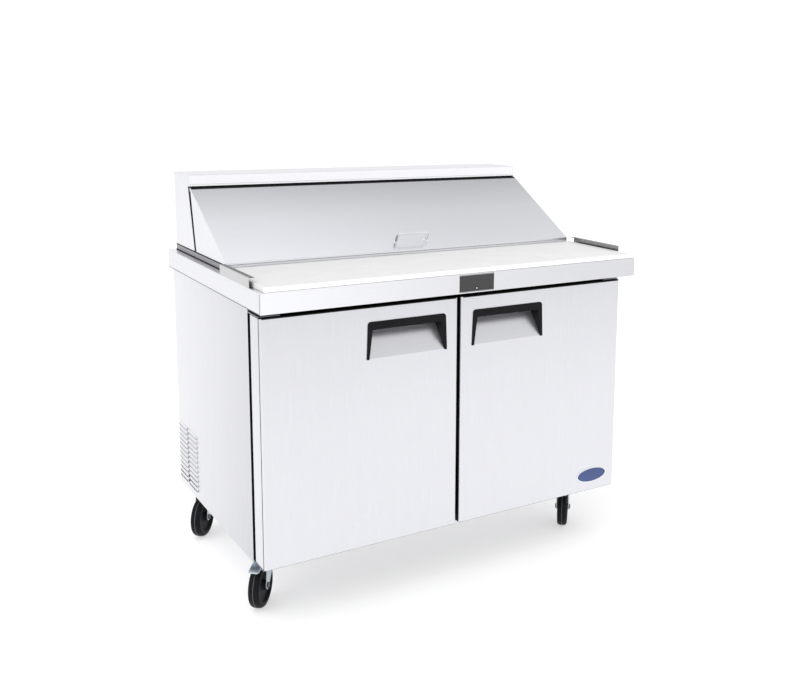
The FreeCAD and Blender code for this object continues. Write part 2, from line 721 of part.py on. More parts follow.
def make_door(side, word):
    outer = sided(side, "door_inner", "door_outer")
    inner = sided(side, "door_inner + gauge", "door_outer - gauge")
    full_z = ("door_low", "door_high")
    inner_z = ("door_low + gauge", "door_high - gauge")
    before = SIZES["door_front"] - SIZES["unit_depth"] / 2 + SIZES["gauge"] + 1
    blank = block(f"door_{word}_blank", outer, ("door_front", "door_back - gauge"), full_z)
    rounded = rounded_front(f"door_{word}_rounded", blank, SIZES["door_round"], before)
    space = block(f"door_{word}_space", inner, ("door_front + gauge", "door_back + 5"), inner_z)
    hollow = rounded_front(f"door_{word}_hollow", space, SIZES["door_round"] - SIZES["gauge"], before)
    tray = cut(f"door_{word}_tray", rounded, hollow)
    tub_outside = DOC.addObject("Part::Common", f"door_{word}_tub")
    tub_outside.Base = make_recess(f"door_{word}_tub_blank", "gauge", side)
    tub_outside.Tool = blank
    skin = joined(f"door_{word}_skin", [tray, tub_outside])
    holes = bores(f"door_{word}_bores", side, "pin_radius + running_gap")
    recess = make_recess(f"door_{word}_recess", "0", side)
    node(cut(f"door_{word}_shell", skin, joined(f"door_{word}_cuts", [recess, holes])))

    foam = block(f"door_{word}_core", sided(side, "door_inner + 7", "door_outer - 7"),
                 ("door_front + gauge", "door_back - gauge"), inner_z)
    wells = bores(f"door_{word}_wells", side, "pin_radius + 4")
    keep_out = joined(f"door_{word}_keep_out", [wells, make_recess(f"door_{word}_tub_space", "gauge", side)])
    node(cut(f"door_{word}_insulation", foam, keep_out))
    node(block(f"door_{word}_liner", outer, ("door_back - gauge", "door_back"), full_z))

    seal_x = ("door_inner + 8", "door_outer - 12")
    seal_z = ("door_low + 12", "door_high - 12")
    depth = ("door_back", "gasket_back")
    strips = [
        block(f"seal_{word}_low", sided(side, *seal_x), depth, (seal_z[0], f"{seal_z[0]} + gasket_width")),
        block(f"seal_{word}_high", sided(side, *seal_x), depth, (f"{seal_z[1]} - gasket_width", seal_z[1])),
    ]
    between = (f"{seal_z[0]} + gasket_width", f"{seal_z[1]} - gasket_width")
    near = (seal_x[0], f"{seal_x[0]} + gasket_width")
    far = (f"{seal_x[1]} - gasket_width", seal_x[1])
    for end, x in (("near", near), ("far", far)):
        strips.append(block(f"seal_{word}_{end}", sided(side, *x), depth, between))
    node(group(f"door_{word}_gasket", strips))
    make_pull(side, word)


def make_pull(side, word):
    """Black pull: an upside-down U on the door's face, a grip bar, and cheeks down the pocket's sides."""
    body = new_body(f"door_{word}_handle")
    foot = "pull_top - pull_height"
    bar = "pull_top - pull_bar"
    leg = 8
    wall = 2.5
    gap = 0.3
    head = "(pull_half - pull_flare)"
    shoulder = f"({head} - 14)"
    face = [
        (f"-{head}", "pull_top"), ("-pull_half", foot), (f"-pull_half + {leg}", foot), (f"-{shoulder}", bar),
        (shoulder, bar), (f"pull_half - {leg}", foot), ("pull_half", foot), (head, "pull_top"),
    ]
    flange = pad(body, outline(body, "XZ_Plane", face), "pull_proud")
    DOC.recompute()
    top = SIZES["pull_top"] - 1
    corners = [
        f"Edge{i}"
        for i, edge in enumerate(flange.Shape.Edges, start=1)
        if abs(edge.Vertexes[0].Point.y - edge.Vertexes[1].Point.y) > 1 and edge.CenterOfMass.z > top
    ]
    soft = body.newObject("PartDesign::Fillet", f"door_{word}_handle_round")
    soft.Base = (flange, corners)
    soft.Radius = 9
    ceiling = f"recess_high - {gap}"
    grip = [(f"-recess_half + {gap}", bar), (f"recess_half - {gap}", bar),
            (f"recess_half - {gap}", ceiling), (f"-recess_half + {gap}", ceiling)]
    pad(body, outline(body, "XZ_Plane", grip, "-4"), "4.5")
    cheek = [("0", "recess_low + 6"), ("recess_depth - 1", "recess_knee + 1"),
             ("recess_depth - 1", ceiling), ("-0.5", ceiling), ("-0.5", "recess_low + 6")]
    for low in (f"-recess_half + {gap}", f"recess_half - {gap} - {wall}"):
        body.Tip = pad(body, outline(body, "YZ_Plane", cheek, low), wall)
    place(body, "pull_centre" if side > 0 else "-pull_centre", at_depth("door_front"))
    node(body)


def make_hinge_brackets():
    """Zinc plates off the face frame, above and below each door, each with its pin."""
    brackets = []
    for side, word in ((-1, "left"), (1, "right")):
        x = sided(side, "door_outer - 60", "body_half - 0.5")
        pivot = "pivot_x" if side > 0 else "-pivot_x"
        low = ("low", ("door_low - 5", "door_low - 2"), ("body_base", "door_low - 2"), "door_low - 4")
        high = ("high", ("door_high + 2", "door_high + 5"), ("door_high + 2", "top_level - top_drop - 2"),
                "door_high - 18")
        for end, plate_z, leg_z, pin_z in (low, high):
            name = f"hinge_{word}_{end}"
            plate = block(f"{name}_plate", x, ("pivot_depth - 10", "body_front - 3"), plate_z)
            leg = block(f"{name}_leg", x, ("body_front - 6", "body_front - 3"), leg_z)
            pin = rod(f"{name}_pin", "Z", "pin_radius", "22", pivot, "pivot_depth", pin_z)
            brackets.append(joined(name, [plate, leg, pin]))
    node(group("door_hinge_brackets", brackets))


# ---------------------------------------------------------------- inside
def make_shelves():
    """Two wire shelves on clips; the clips hang on slotted strips."""
    radius = "wire_radius"
    shelves = []
    for side, word in ((-1, "left"), (1, "right")):
        x_low, x_high = sided(side, "6", "body_half - wall - 8")
        wires = [
            rod(f"shelf_{word}_end_{i}", "Y", radius, "shelf_deep", x, "shelf_front", "shelf_level")
            for i, x in enumerate((f"{x_low} + 3", f"({x_low} + {x_high}) / 2", f"{x_high} - 3"))
        ]
        for i in range(21):
            wires.append(rod(f"shelf_{word}_wire_{i}", "X", radius, f"({x_high}) - ({x_low})", x_low,
                             f"shelf_front + 3 + {i} * wire_pitch", "shelf_level + 4"))
        shelves.append(joined(f"wire_shelf_{word}", wires))
    node(group("wire_shelves", shelves))
    fittings = []
    strip_face = "body_half - wall - gauge - 3"
    clip_z = ("shelf_level - 12", "shelf_level - wire_radius")
    stations = (("front", "215", "body_base + wall + gauge"),
                ("rear", "700", "engine_top + step_wall + gauge"))
    for word, depth, foot in stations:
        for side in (-1, 1):
            span = (depth, f"{depth} + 16")
            strip_x = sided(side, strip_face, "body_half - wall - gauge")
            clip_x = sided(side, "body_half - wall - 22", strip_face)
            strip_z = (foot, "top_level - top_drop - 10")
            fittings.append(block(f"strip_{word}_{side + 1}", strip_x, span, strip_z))
            fittings.append(block(f"clip_{word}_{side + 1}", clip_x, span, clip_z))
    post_back = "body_front + 45"
    liner_back = "body_rear - 2 * gauge - step_wall"
    for word, front in (("post", post_back), ("wall", f"{liner_back} - 22")):
        fittings.append(block(f"clip_{word}", ("-14", "14"), (front, f"{front} + 22"), clip_z))
    node(group("shelf_supports", fittings))


def make_evaporator():
    """Cooling coil and its cover high on the back wall; the fan turns in a ring in front."""
    depth = ("coil_front", "coil_back")
    end_z = ("coil_low - 6", "coil_high + 6")
    cover = "coil_half + 22"
    casing = [
        block("coil_block", ("-coil_half", "coil_half"), depth, ("coil_low", "coil_high")),
        block("coil_end_left", (f"-({cover})", "-coil_half"), depth, end_z),
        block("coil_end_right", ("coil_half", cover), depth, end_z),
        block("coil_tray", (f"-({cover})", cover), ("coil_front - 26", "coil_back"),
              ("coil_low - 22", "coil_low - 18")),
    ]
    plate = block("fan_plate", ("-100", "100"), ("coil_front - 4", "coil_front - 1"),
                  ("coil_fan_level - 90", "coil_fan_level + 90"))
    hole = rod("fan_plate_hole", "Y", "coil_fan_radius + 10", "20", "0", "coil_front - 12", "coil_fan_level")
    casing.append(cut("fan_ring_plate", plate, hole))
    node(group("evaporator_unit", casing))


def make_fan(name, axis, radius, x, depth, z):
    """Hub with four flat blades, pitched a little."""
    parts = [rod(f"{name}_hub", axis, "16", "12", x, depth, z)]
    for i in range(4):
        blade = DOC.addObject("Part::Box", f"{name}_blade_{i}")
        bind(blade, Length=f"{radius} - 10", Width="34", Height="1.5")
        spin = FreeCAD.Rotation(V(0, 0, 1), 90 * i)
        pitch = FreeCAD.Rotation(V(1, 0, 0), 15)
        turned = TURN_TO[axis].multiply(spin).multiply(pitch)
        corner = TURN_TO[axis].multiply(spin).multVec(V(8, -16, 2))
        blade.Placement = FreeCAD.Placement(corner, turned)
        place(blade, f"{x} + {corner.x:.4f}", at_depth(f"{depth} + {corner.y:.4f}"), f"{z} + {corner.z:.4f}")
        parts.append(blade)
    node(joined(name, parts))


def make_compressor(floor_level):
    """A domed steel shell on a foot plate, standing on four rubber feet."""
    shell_foot = ("shell_x", "shell_depth", f"{floor_level} + 32")
    shell = rod("compressor_shell", "Z", "shell_radius", "96", *shell_foot)
    dome = DOC.addObject("Part::Sphere", "compressor_dome")
    bind(dome, Radius="shell_radius")
    place(dome, "shell_x", at_depth("shell_depth"), f"{floor_level} + 128")
    reach = "shell_radius + 12"
    trim = block("dome_trim", (f"shell_x - ({reach})", f"shell_x + {reach}"),
                 (f"shell_depth - ({reach})", f"shell_depth + {reach}"),
                 (f"{floor_level} + 165", f"{floor_level} + 220"))
    foot = block("compressor_foot", ("shell_x - 90", "shell_x + 90"),
                 ("shell_depth - 62", "shell_depth + 62"),
                 (f"{floor_level} + 26", f"{floor_level} + 32"))
    solid = cut("compressor_solid", joined("compressor_blank", [shell, dome, foot]), trim)
    feet = [
        rod(f"grommet_{i}", "Z", "10", "26", f"shell_x + {across}", f"shell_depth + {along}", floor_level)
        for i, (across, along) in enumerate(((-78, -48), (78, -48), (-78, 48), (78, 48)))
    ]
    node(group("compressor", [solid] + feet))


def make_condenser(floor_level):
    """Coil behind the side louvres, with a shroud and a fan motor on its inner side."""
    depth = ("condenser_front", "condenser_back")
    core_z = (f"{floor_level} + 12", "condenser_high")
    coil = [
        block("condenser_core", ("-body_half + 42", "-body_half + 82"), depth, core_z),
        block("condenser_tray", ("-body_half + 36", "-body_half + 176"),
              ("condenser_front - 4", "condenser_back + 4"), (floor_level, f"{floor_level} + 12")),
    ]
    node(group("condenser_coil", coil))
    plate = block("shroud_plate", ("-body_half + 92", "-body_half + 95"), depth, core_z)
    centre = ("bay_fan_depth", "bay_fan_level")
    hole = rod("shroud_hole", "X", "bay_fan_radius + 10", "20", "-body_half + 85", *centre)
    motor = rod("fan_motor", "X", "26", "46", "-body_half + 120", *centre)
    shaft = rod("fan_shaft", "X", "4", "8", "-body_half + 113.6", *centre)
    arm = block("motor_arm", ("-body_half + 140", "-body_half + 146"),
                ("bay_fan_depth - 10", "bay_fan_depth + 10"), (f"{floor_level} + 12", "bay_fan_level - 20"))
    node(group("fan_shroud", [cut("shroud", plate, hole), joined("motor_and_arm", [motor, shaft, arm])]))


def make_engine_bay():
    floor_level = "body_base + gauge"
    make_compressor(floor_level)
    make_condenser(floor_level)
    run = f"{floor_level} + 203"
    pipes = [
        rod("pipe_up", "Z", "pipe_radius", "38", "shell_x", "shell_depth", f"{floor_level} + 165"),
        rod("pipe_across", "X", "pipe_radius", "260", "shell_x - 260", "shell_depth", run),
        rod("pipe_right", "X", "pipe_radius", "200", "shell_x", "shell_depth", run),
    ]
    node(joined("refrigerant_pipes", pipes))
    gland = [
        rod("gland_flange", "Y", "gland_radius + 6", "3", "gland_x", "body_rear", "gland_level"),
        rod("gland_neck", "Y", "gland_radius", "30", "gland_x", "body_rear - 30", "gland_level"),
    ]
    bore = rod("gland_bore", "Y", "4.5", "60", "gland_x", "body_rear - 40", "gland_level")
    node(cut("power_inlet_gland", joined("gland_body", gland), bore))


# ---------------------------------------------------------------- casters
def caster_places():
    for depth_word, depth in (("front", "caster_front"), ("rear", "caster_rear")):
        for side, word in ((-1, "left"), (1, "right")):
            yield f"{depth_word}_{word}", ("caster_x" if side > 0 else "-caster_x"), depth


def turned_to_trail(body, x, depth):
    """Sets a caster piece at its swivel, turned so that its local -X points where the wheel trails."""
    body.Placement = FreeCAD.Placement(V(), FreeCAD.Rotation(V(0, 0, 1), SIZES["caster_turn"]))
    return place(body, x, at_depth(depth))


def make_caster(name, x, depth, braked):
    # in the local frame the swivel is at X = Y = 0, the wheel trails towards -X and its axle lies along Y
    fork = new_body(f"fork_legs_{name}")
    leg_outer = "(leg_inner + leg_thick)"
    leg = [("-trail - 9", "wheel_radius - 9"), ("-trail + 9", "wheel_radius - 9"), ("26", "fork_top - 14"),
           ("26", "fork_top"), ("-40", "fork_top"), ("-40", "fork_top - 14")]
    pad(fork, outline(fork, "XZ_Plane", leg), f"2 * {leg_outer}", True)
    inside = [("-120", "0"), ("120", "0"), ("120", "fork_top - 3"), ("-120", "fork_top - 3")]
    pocket(fork, outline(fork, "XZ_Plane", inside), "2 * leg_inner")
    turned_to_trail(fork, x, depth)

    def ring(label, radius, low, high):
        piece = DOC.addObject("Part::Cylinder", f"{label}_{name}")
        bind(piece, Radius=radius, Height=f"({high}) - ({low})")
        return place(piece, x, at_depth(depth), low)

    race = ring("race", "24", "fork_top - 1", "plate_base - 4")
    kingpin = ring("kingpin", "9", "plate_base - 5", "plate_base - 0.3")
    axle = DOC.addObject("Part::Cylinder", f"axle_{name}")
    bind(axle, Radius="axle_radius", Height=f"2 * {leg_outer} + 8")
    turn = math.radians(SIZES["caster_turn"])
    spin = FreeCAD.Rotation(V(0, 0, 1), SIZES["caster_turn"])
    axle.Placement = FreeCAD.Placement(V(), spin.multiply(TURN_TO["Y"]))
    half = f"({leg_outer} + 4)"
    cosine, sine = f"{math.cos(turn):.6f}", f"{math.sin(turn):.6f}"
    place(axle, f"{x} - trail * {cosine} + {half} * {sine}",
          f"{at_depth(depth)} - trail * {sine} - {half} * {cosine}", "wheel_radius")
    brake_pin = DOC.addObject("Part::Cylinder", f"brake_pin_{name}")
    bind(brake_pin, Radius="brake_pin", Height=f"2 * {leg_outer}")
    brake_pin.Placement = FreeCAD.Placement(V(), spin.multiply(TURN_TO["Y"]))
    place(brake_pin, f"{x} - brake_reach * {cosine} + {leg_outer} * {sine}",
          f"{at_depth(depth)} - brake_reach * {sine} - {leg_outer} * {cosine}", "brake_level")
    node(joined(f"caster_fork_{name}", [fork, race, kingpin, axle] + [brake_pin] * braked))

    wheel = new_body(f"caster_wheel_{name}")
    make_wheel_profile(wheel)
    wheel.Placement = FreeCAD.Placement(V(), spin)
    place(wheel, f"{x} - trail * {cosine}", f"{at_depth(depth)} - trail * {sine}", "wheel_radius")
    node(wheel)
    if braked:
        make_brake(name, x, depth)


def make_wheel_profile(wheel):
    """The wheel is turned about its axle from one half-section: bore, hub, web, rounded tread."""
    rim = "wheel_radius"
    half = [
        ("axle_radius + running_gap", "-wheel_half - 2"), ("13", "-wheel_half - 2"), ("15", "-9"),
        (f"{rim} - 18", "-9"), (f"{rim} - 13", "-wheel_half"), (f"{rim} - 6", "-wheel_half"),
        (f"{rim} - 1.8", "-wheel_half + 4.5"), (rim, "-7"), (rim, "-1.6"), (f"{rim} - 0.8", "-1"),
    ]
    mirrored = [(radius, f"-({along})") for radius, along in reversed(half)]
    sketch = outline(wheel, "XY_Plane", half + mirrored)
    turned = wheel.newObject("PartDesign::Revolution", f"{wheel.Name}_turned")
    turned.Profile = sketch
    turned.ReferenceAxis = (sketch, ["V_Axis"])
    turned.Angle = 360


def make_brake(name, x, depth):
    """Foot pedal over the wheel, on a pin across the fork's trailing end: a barrel with a straight arm."""
    pedal = new_body(f"brake_pedal_{name}")
    side = [("-brake_reach", "brake_level + brake_barrel"),
            ("-brake_reach - 4", "brake_level + brake_barrel"),
            ("-brake_reach - 59", "brake_level - 9"), ("-brake_reach - 60", "brake_level - 12"),
            ("-brake_reach - 57", "brake_level - 12.5"), ("-brake_reach - 4", "brake_level - 3"),
            ("-brake_reach - 2", "brake_level - brake_barrel"),
            ("-brake_reach + 3", "brake_level - brake_barrel"), ("-brake_reach + 5", "brake_level")]
    pad(pedal, outline(pedal, "XZ_Plane", side), "30", True)
    bore = pedal.newObject("Sketcher::SketchObject", f"{pedal.Name}_bore")
    bore.AttachmentSupport = [(origin_plane(pedal, "XZ_Plane"), "")]
    bore.MapMode = "FlatFace"
    bore.addGeometry(Part.Circle(V(-SIZES["brake_reach"], SIZES["brake_level"], 0), V(0, 0, 1), 2.5))
    bore.addConstraint(Sketcher.Constraint("DistanceX", -1, 1, 0, 3, -SIZES["brake_reach"]))
    bore.addConstraint(Sketcher.Constraint("DistanceY", -1, 1, 0, 3, SIZES["brake_level"]))
    bore.addConstraint(Sketcher.Constraint("Radius", 0, 2.5))
    for index, text in enumerate(("-brake_reach", "brake_level", "brake_pin + running_gap")):
        bore.setExpression(f"Constraints[{index}]", bound(text))
    pocket(pedal, bore, "40")
    turned_to_trail(pedal, x, depth)
    node(pedal)


def make_casters():
    for name, x, depth in caster_places():
        make_caster(name, x, depth, braked=name.startswith("front"))
    plates = [
        block(f"caster_plate_{name}", (f"{x} - 48", f"{x} + 48"), (f"{depth} - 34", f"{depth} + 34"),
              ("plate_base", "body_base - rail_drop"))
        for name, x, depth in caster_places()
    ]
    node(group("caster_plates", plates))


def make_fasteners():
    """Screw heads on the board brackets and hinge legs, and the bolts through the caster plates."""
    heads = []
    for side, word in ((-1, "left"), (1, "right")):
        x = "top_width / 2" if side > 0 else "-top_width / 2 - 1"
        for i, depth in enumerate(("99", "124", "245")):
            heads.append(rod(f"bracket_screw_{word}_{i}", "X", "2.6", "1", x, depth, "top_level - 8"))
        for i, inset in enumerate((18, 44)):
            leg_x = f"door_outer - {inset}" if side > 0 else f"-door_outer + {inset}"
            heads.append(rod(f"hinge_screw_{word}_{i}", "Y", "4", "2", leg_x,
                             "body_front - 8", "door_high + 12"))
    for name, x, depth in caster_places():
        for i, (along, across) in enumerate(((-39, -26), (39, -26), (-39, 26), (39, 26))):
            heads.append(rod(f"bolt_{name}_{i}", "Z", "4.5", "4", f"{x} + {along}", f"{depth} + {across}",
                             "plate_base - 4"))
    node(group("fasteners", heads))


# ---------------------------------------------------------------- build and write
make_outer_panels()
make_insulation()
make_liner()
make_front_frame()
make_base()
make_worktop()
make_collar()
make_pan_bars()
make_food_pans()
make_hood()
make_lid_hinge()
make_lid()
make_board()
make_board_brackets()
make_controller()
make_door(-1, "left")
make_door(1, "right")
make_hinge_brackets()
make_shelves()
make_evaporator()
make_fan("evaporator_fan", "Y", "coil_fan_radius", "0", "coil_front - 18", "coil_fan_level")
make_engine_bay()
make_fan("condenser_fan", "X", "bay_fan_radius", "-body_half + 101", "bay_fan_depth", "bay_fan_level")
make_casters()
make_fasteners()
DOC.recompute()

failed = [thing.Label for thing in DOC.Objects if {"Invalid", "Error"} & set(thing.State)]
if failed:
    raise RuntimeError(f"features that failed: {failed}")
for thing in NODES:
    shape = thing.Shape
    if shape.isNull() or not shape.isValid() or not shape.Solids:
        raise RuntimeError(f"sub-part {thing.Label} has no valid solid")
    if min(solid.Volume for solid in shape.Solids) <= 0:
        raise RuntimeError(f"sub-part {thing.Label} has a solid with no volume")

os.makedirs("parts", exist_ok=True)
for thing in NODES:
    thing.Shape.exportStep(f"parts/{thing.Label}.step")
print(f"{len(NODES)} sub-parts written")
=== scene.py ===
import json
import math

import bmesh
import bpy
from mathutils import Matrix, Vector
from mathutils.geometry import convex_hull_2d

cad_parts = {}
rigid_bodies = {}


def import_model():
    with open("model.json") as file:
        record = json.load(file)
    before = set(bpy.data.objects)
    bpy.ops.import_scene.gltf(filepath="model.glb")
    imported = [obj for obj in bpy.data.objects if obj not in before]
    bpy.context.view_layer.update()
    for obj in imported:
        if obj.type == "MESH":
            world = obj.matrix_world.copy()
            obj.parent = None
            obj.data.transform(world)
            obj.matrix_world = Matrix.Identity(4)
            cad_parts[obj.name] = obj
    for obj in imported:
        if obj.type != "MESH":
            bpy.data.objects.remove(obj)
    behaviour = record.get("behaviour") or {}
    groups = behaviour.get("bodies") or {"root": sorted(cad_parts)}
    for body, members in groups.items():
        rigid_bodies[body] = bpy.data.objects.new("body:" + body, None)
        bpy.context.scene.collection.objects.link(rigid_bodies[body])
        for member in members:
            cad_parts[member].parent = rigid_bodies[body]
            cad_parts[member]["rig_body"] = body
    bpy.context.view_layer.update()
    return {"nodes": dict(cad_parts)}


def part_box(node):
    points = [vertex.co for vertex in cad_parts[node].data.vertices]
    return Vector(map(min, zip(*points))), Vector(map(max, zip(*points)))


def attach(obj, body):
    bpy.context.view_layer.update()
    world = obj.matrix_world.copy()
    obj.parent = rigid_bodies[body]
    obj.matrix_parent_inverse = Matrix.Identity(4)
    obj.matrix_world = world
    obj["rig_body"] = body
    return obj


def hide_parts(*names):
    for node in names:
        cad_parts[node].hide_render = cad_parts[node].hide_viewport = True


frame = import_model()
NODES = frame["nodes"]
SCENE = bpy.context.scene


# ---------------------------------------------------------------- materials
def new_material(name):
    material = bpy.data.materials.new(name)
    material.use_nodes = True
    return material, material.node_tree, material.node_tree.nodes["Principled BSDF"]


def add(tree, kind, **settings):
    made = tree.nodes.new(kind)
    for key, value in settings.items():
        if key[0].isupper():
            made.inputs[key.replace("_", " ")].default_value = value
        else:
            setattr(made, key, value)
    return made


def noise(tree, scale, detail=3.0, roughness=0.55):
    """A noise texture in metres, stretched by a scale for each axis."""
    mapping = add(tree, "ShaderNodeMapping")
    mapping.inputs["Scale"].default_value = scale
    tree.links.new(add(tree, "ShaderNodeTexCoord").outputs["Object"], mapping.inputs["Vector"])
    texture = add(tree, "ShaderNodeTexNoise", Scale=1.0, Detail=detail, Roughness=roughness)
    tree.links.new(mapping.outputs["Vector"], texture.inputs["Vector"])
    return texture.outputs["Fac"]


def remap(tree, value, low, high, start=0.3, end=0.7):
    made = add(tree, "ShaderNodeMapRange")
    tree.links.new(value, made.inputs["Value"])
    for key, number in (("From Min", start), ("From Max", end), ("To Min", low), ("To Max", high)):
        made.inputs[key].default_value = number
    return made.outputs["Result"]


def blend_colours(tree, factor, first, second):
    made = add(tree, "ShaderNodeMix", data_type="RGBA")
    tree.links.new(factor, made.inputs["Factor"])
    for socket, colour in ((made.inputs[6], first), (made.inputs[7], second)):
        if hasattr(colour, "links"):
            tree.links.new(colour, socket)
        else:
            socket.default_value = (*colour, 1)
    return made.outputs[2]


def add_ramp(tree, factor, stops):
    """A colour ramp; each stop is a position from 0 to 1 and its colour."""
    ramp = add(tree, "ShaderNodeValToRGB")
    while len(ramp.color_ramp.elements) < len(stops):
        ramp.color_ramp.elements.new(0.5)
    for element, (position, colour) in zip(ramp.color_ramp.elements, stops):
        element.position = position
        element.color = (*colour, 1)
    tree.links.new(factor, ramp.inputs["Fac"])
    return ramp.outputs["Color"]


def shaded(tree, tone, shade):
    """Paints light and shade into a tone: multiplies it by factors at positions, in metres, along an axis; "|X|"
    is the same on both sides.
    """
    axis, stops = shade
    split = add(tree, "ShaderNodeSeparateXYZ")
    tree.links.new(add(tree, "ShaderNodeTexCoord").outputs["Object"], split.inputs["Vector"])
    place = split.outputs[axis.strip("|")]
    if axis.startswith("|"):
        size = add(tree, "ShaderNodeMath", operation="ABSOLUTE")
        tree.links.new(place, size.inputs[0])
        place = size.outputs[0]
    first, last = stops[0][0], stops[-1][0]
    levels = [((position - first) / (last - first), [factor] * 3) for position, factor in stops]
    product = add(tree, "ShaderNodeMix", data_type="RGBA", blend_type="MULTIPLY")
    product.inputs["Factor"].default_value = 1.0
    tree.links.new(tone, product.inputs[6])
    tree.links.new(add_ramp(tree, remap(tree, place, 0, 1, first, last), levels), product.inputs[7])
    return product.outputs[2]


def add_bump(tree, shader, height, strength, distance):
    made = add(tree, "ShaderNodeBump", Strength=strength, Distance=distance)
    tree.links.new(height, made.inputs["Height"])
    tree.links.new(made.outputs["Normal"], shader.inputs["Normal"])


def brushed(name, light, dark, grain, roughness=(0.26, 0.38), metallic=0.9, strength=0.03, shade=None):
    """Sheet metal with fine parallel scratches along one axis, and slow cloudy changes of tone; a shade, where
    given, paints light and shade along an axis.
    """
    material, tree, shader = new_material(name)
    fine_scale, broad_scale = [620.0] * 3, [70.0] * 3
    fine_scale["XYZ".index(grain)] = 9.0
    broad_scale["XYZ".index(grain)] = 2.0
    scratches = noise(tree, fine_scale, 4.0, 0.7)
    streaks = noise(tree, broad_scale, 2.0, 0.5)
    clouds = noise(tree, (3.2, 3.2, 3.2), 2.0, 0.5)
    fine = blend_colours(tree, remap(tree, scratches, 0, 1), light, dark)
    quarter = [a * 0.75 + b * 0.25 for a, b in zip(light, dark)]
    broad_tone = blend_colours(tree, remap(tree, streaks, 0, 1), light, quarter)
    tone = blend_colours(tree, remap(tree, clouds, 0.35, 0.65), fine, broad_tone)
    tree.links.new(shaded(tree, tone, shade) if shade else tone, shader.inputs["Base Color"])
    tree.links.new(remap(tree, scratches, *roughness), shader.inputs["Roughness"])
    shader.inputs["Metallic"].default_value = metallic
    add_bump(tree, shader, scratches, strength, 0.0002)
    return material


def coated(name, light, dark, scale, roughness, strength=0.08, metallic=0.0, distance=0.0004, coat=0.0,
           specular=0.5, shade=None):
    """Paint, plastic or rubber with a fine moulded grain and a little unevenness in tone and gloss; a shade,
    where given, paints light and shade along an axis.
    """
    material, tree, shader = new_material(name)
    grain = noise(tree, (scale, scale, scale), 3.0, 0.6)
    clouds = noise(tree, (14.0, 14.0, 14.0), 3.0, 0.55)
    tone = blend_colours(tree, remap(tree, clouds, 0, 1), light, dark)
    tree.links.new(shaded(tree, tone, shade) if shade else tone, shader.inputs["Base Color"])
    tree.links.new(remap(tree, clouds, *roughness), shader.inputs["Roughness"])
    shader.inputs["Metallic"].default_value = metallic
    shader.inputs["Specular IOR Level"].default_value = specular
    shader.inputs["Coat Weight"].default_value = coat
    add_bump(tree, shader, grain, strength, distance)
    return material


def finned(name, light, dark, axis, pitch):
    """Stacked thin fins: fine dark stripes across one axis paint the shade in the gaps between them."""
    material, tree, shader = new_material(name)
    split = add(tree, "ShaderNodeSeparateXYZ")
    tree.links.new(add(tree, "ShaderNodeTexCoord").outputs["Object"], split.inputs["Vector"])
    turns = add(tree, "ShaderNodeMath", operation="MULTIPLY")
    tree.links.new(split.outputs[axis], turns.inputs[0])
    turns.inputs[1].default_value = 2 * math.pi / pitch
    wave = add(tree, "ShaderNodeMath", operation="SINE")
    tree.links.new(turns.outputs[0], wave.inputs[0])
    # the dark stripes are painted shade in the gaps between the fins
    gap = remap(tree, wave.outputs[0], 0, 1, -0.2, 0.7)
    tone = blend_colours(tree, remap(tree, noise(tree, (40, 40, 40)), 0, 1), light, [c * 0.86 for c in light])
    tree.links.new(blend_colours(tree, gap, tone, dark), shader.inputs["Base Color"])
    shader.inputs["Metallic"].default_value = 0.7
    shader.inputs["Roughness"].default_value = 0.42
    add_bump(tree, shader, wave.outputs[0], 0.5, 0.0006)
    return material


STEEL_LIGHT = (0.765, 0.767, 0.80)
STEEL_DARK = (0.715, 0.718, 0.752)
steel = {grain: brushed(f"stainless_{grain.lower()}", STEEL_LIGHT, STEEL_DARK, grain) for grain in "XZ"}
# Darker towards the top of the doors: painted shade.
door_steel = brushed("stainless_doors", STEEL_LIGHT, STEEL_DARK, "Z",
                     shade=("Z", [(0.18, 0.98), (0.55, 0.95), (0.86, 0.87)]))
# Darker towards the front and lighter towards the rear: painted light and shade.
side_steel = brushed("stainless_sides", STEEL_LIGHT, STEEL_DARK, "Z",
                     shade=("Y", [(-0.28, 0.79), (-0.05, 0.86), (0.41, 0.97)]))
# Brightest near the left end, a little darker on the left end face, darker towards the right: painted light and
# shade.
top_steel = brushed("stainless_worktop", (0.79, 0.792, 0.82), (0.745, 0.748, 0.78), "X",
                    shade=("X", [(-0.6112, 0.93), (-0.609, 1.08), (0.0, 0.89), (0.609, 0.82)]))
# Darker towards the lid's top, near the hood: painted shade.
lid_steel = brushed("stainless_lid", (0.85, 0.86, 0.895), (0.81, 0.82, 0.855), "X", (0.16, 0.24),
                    shade=("Z", [(0.97, 1.0), (1.06, 0.90), (1.145, 0.69)]))
# A dark band at the bend of the front lip and a darker top face: painted shade.
cover_steel = brushed("stainless_cover", (0.90, 0.90, 0.925), (0.87, 0.87, 0.895), "X",
                      shade=("Z", [(1.152, 0.96), (1.1565, 0.96), (1.157, 0.70), (1.158, 0.70), (1.1585, 1.0),
                                   (1.183, 1.0), (1.1855, 0.84)]))
# Darker on its outer end faces, under the hood's foot: painted shade.
collar_steel = brushed("stainless_collar", STEEL_LIGHT, STEEL_DARK, "X",
                       shade=("|X|", [(0.582, 1.0), (0.587, 0.32)]))
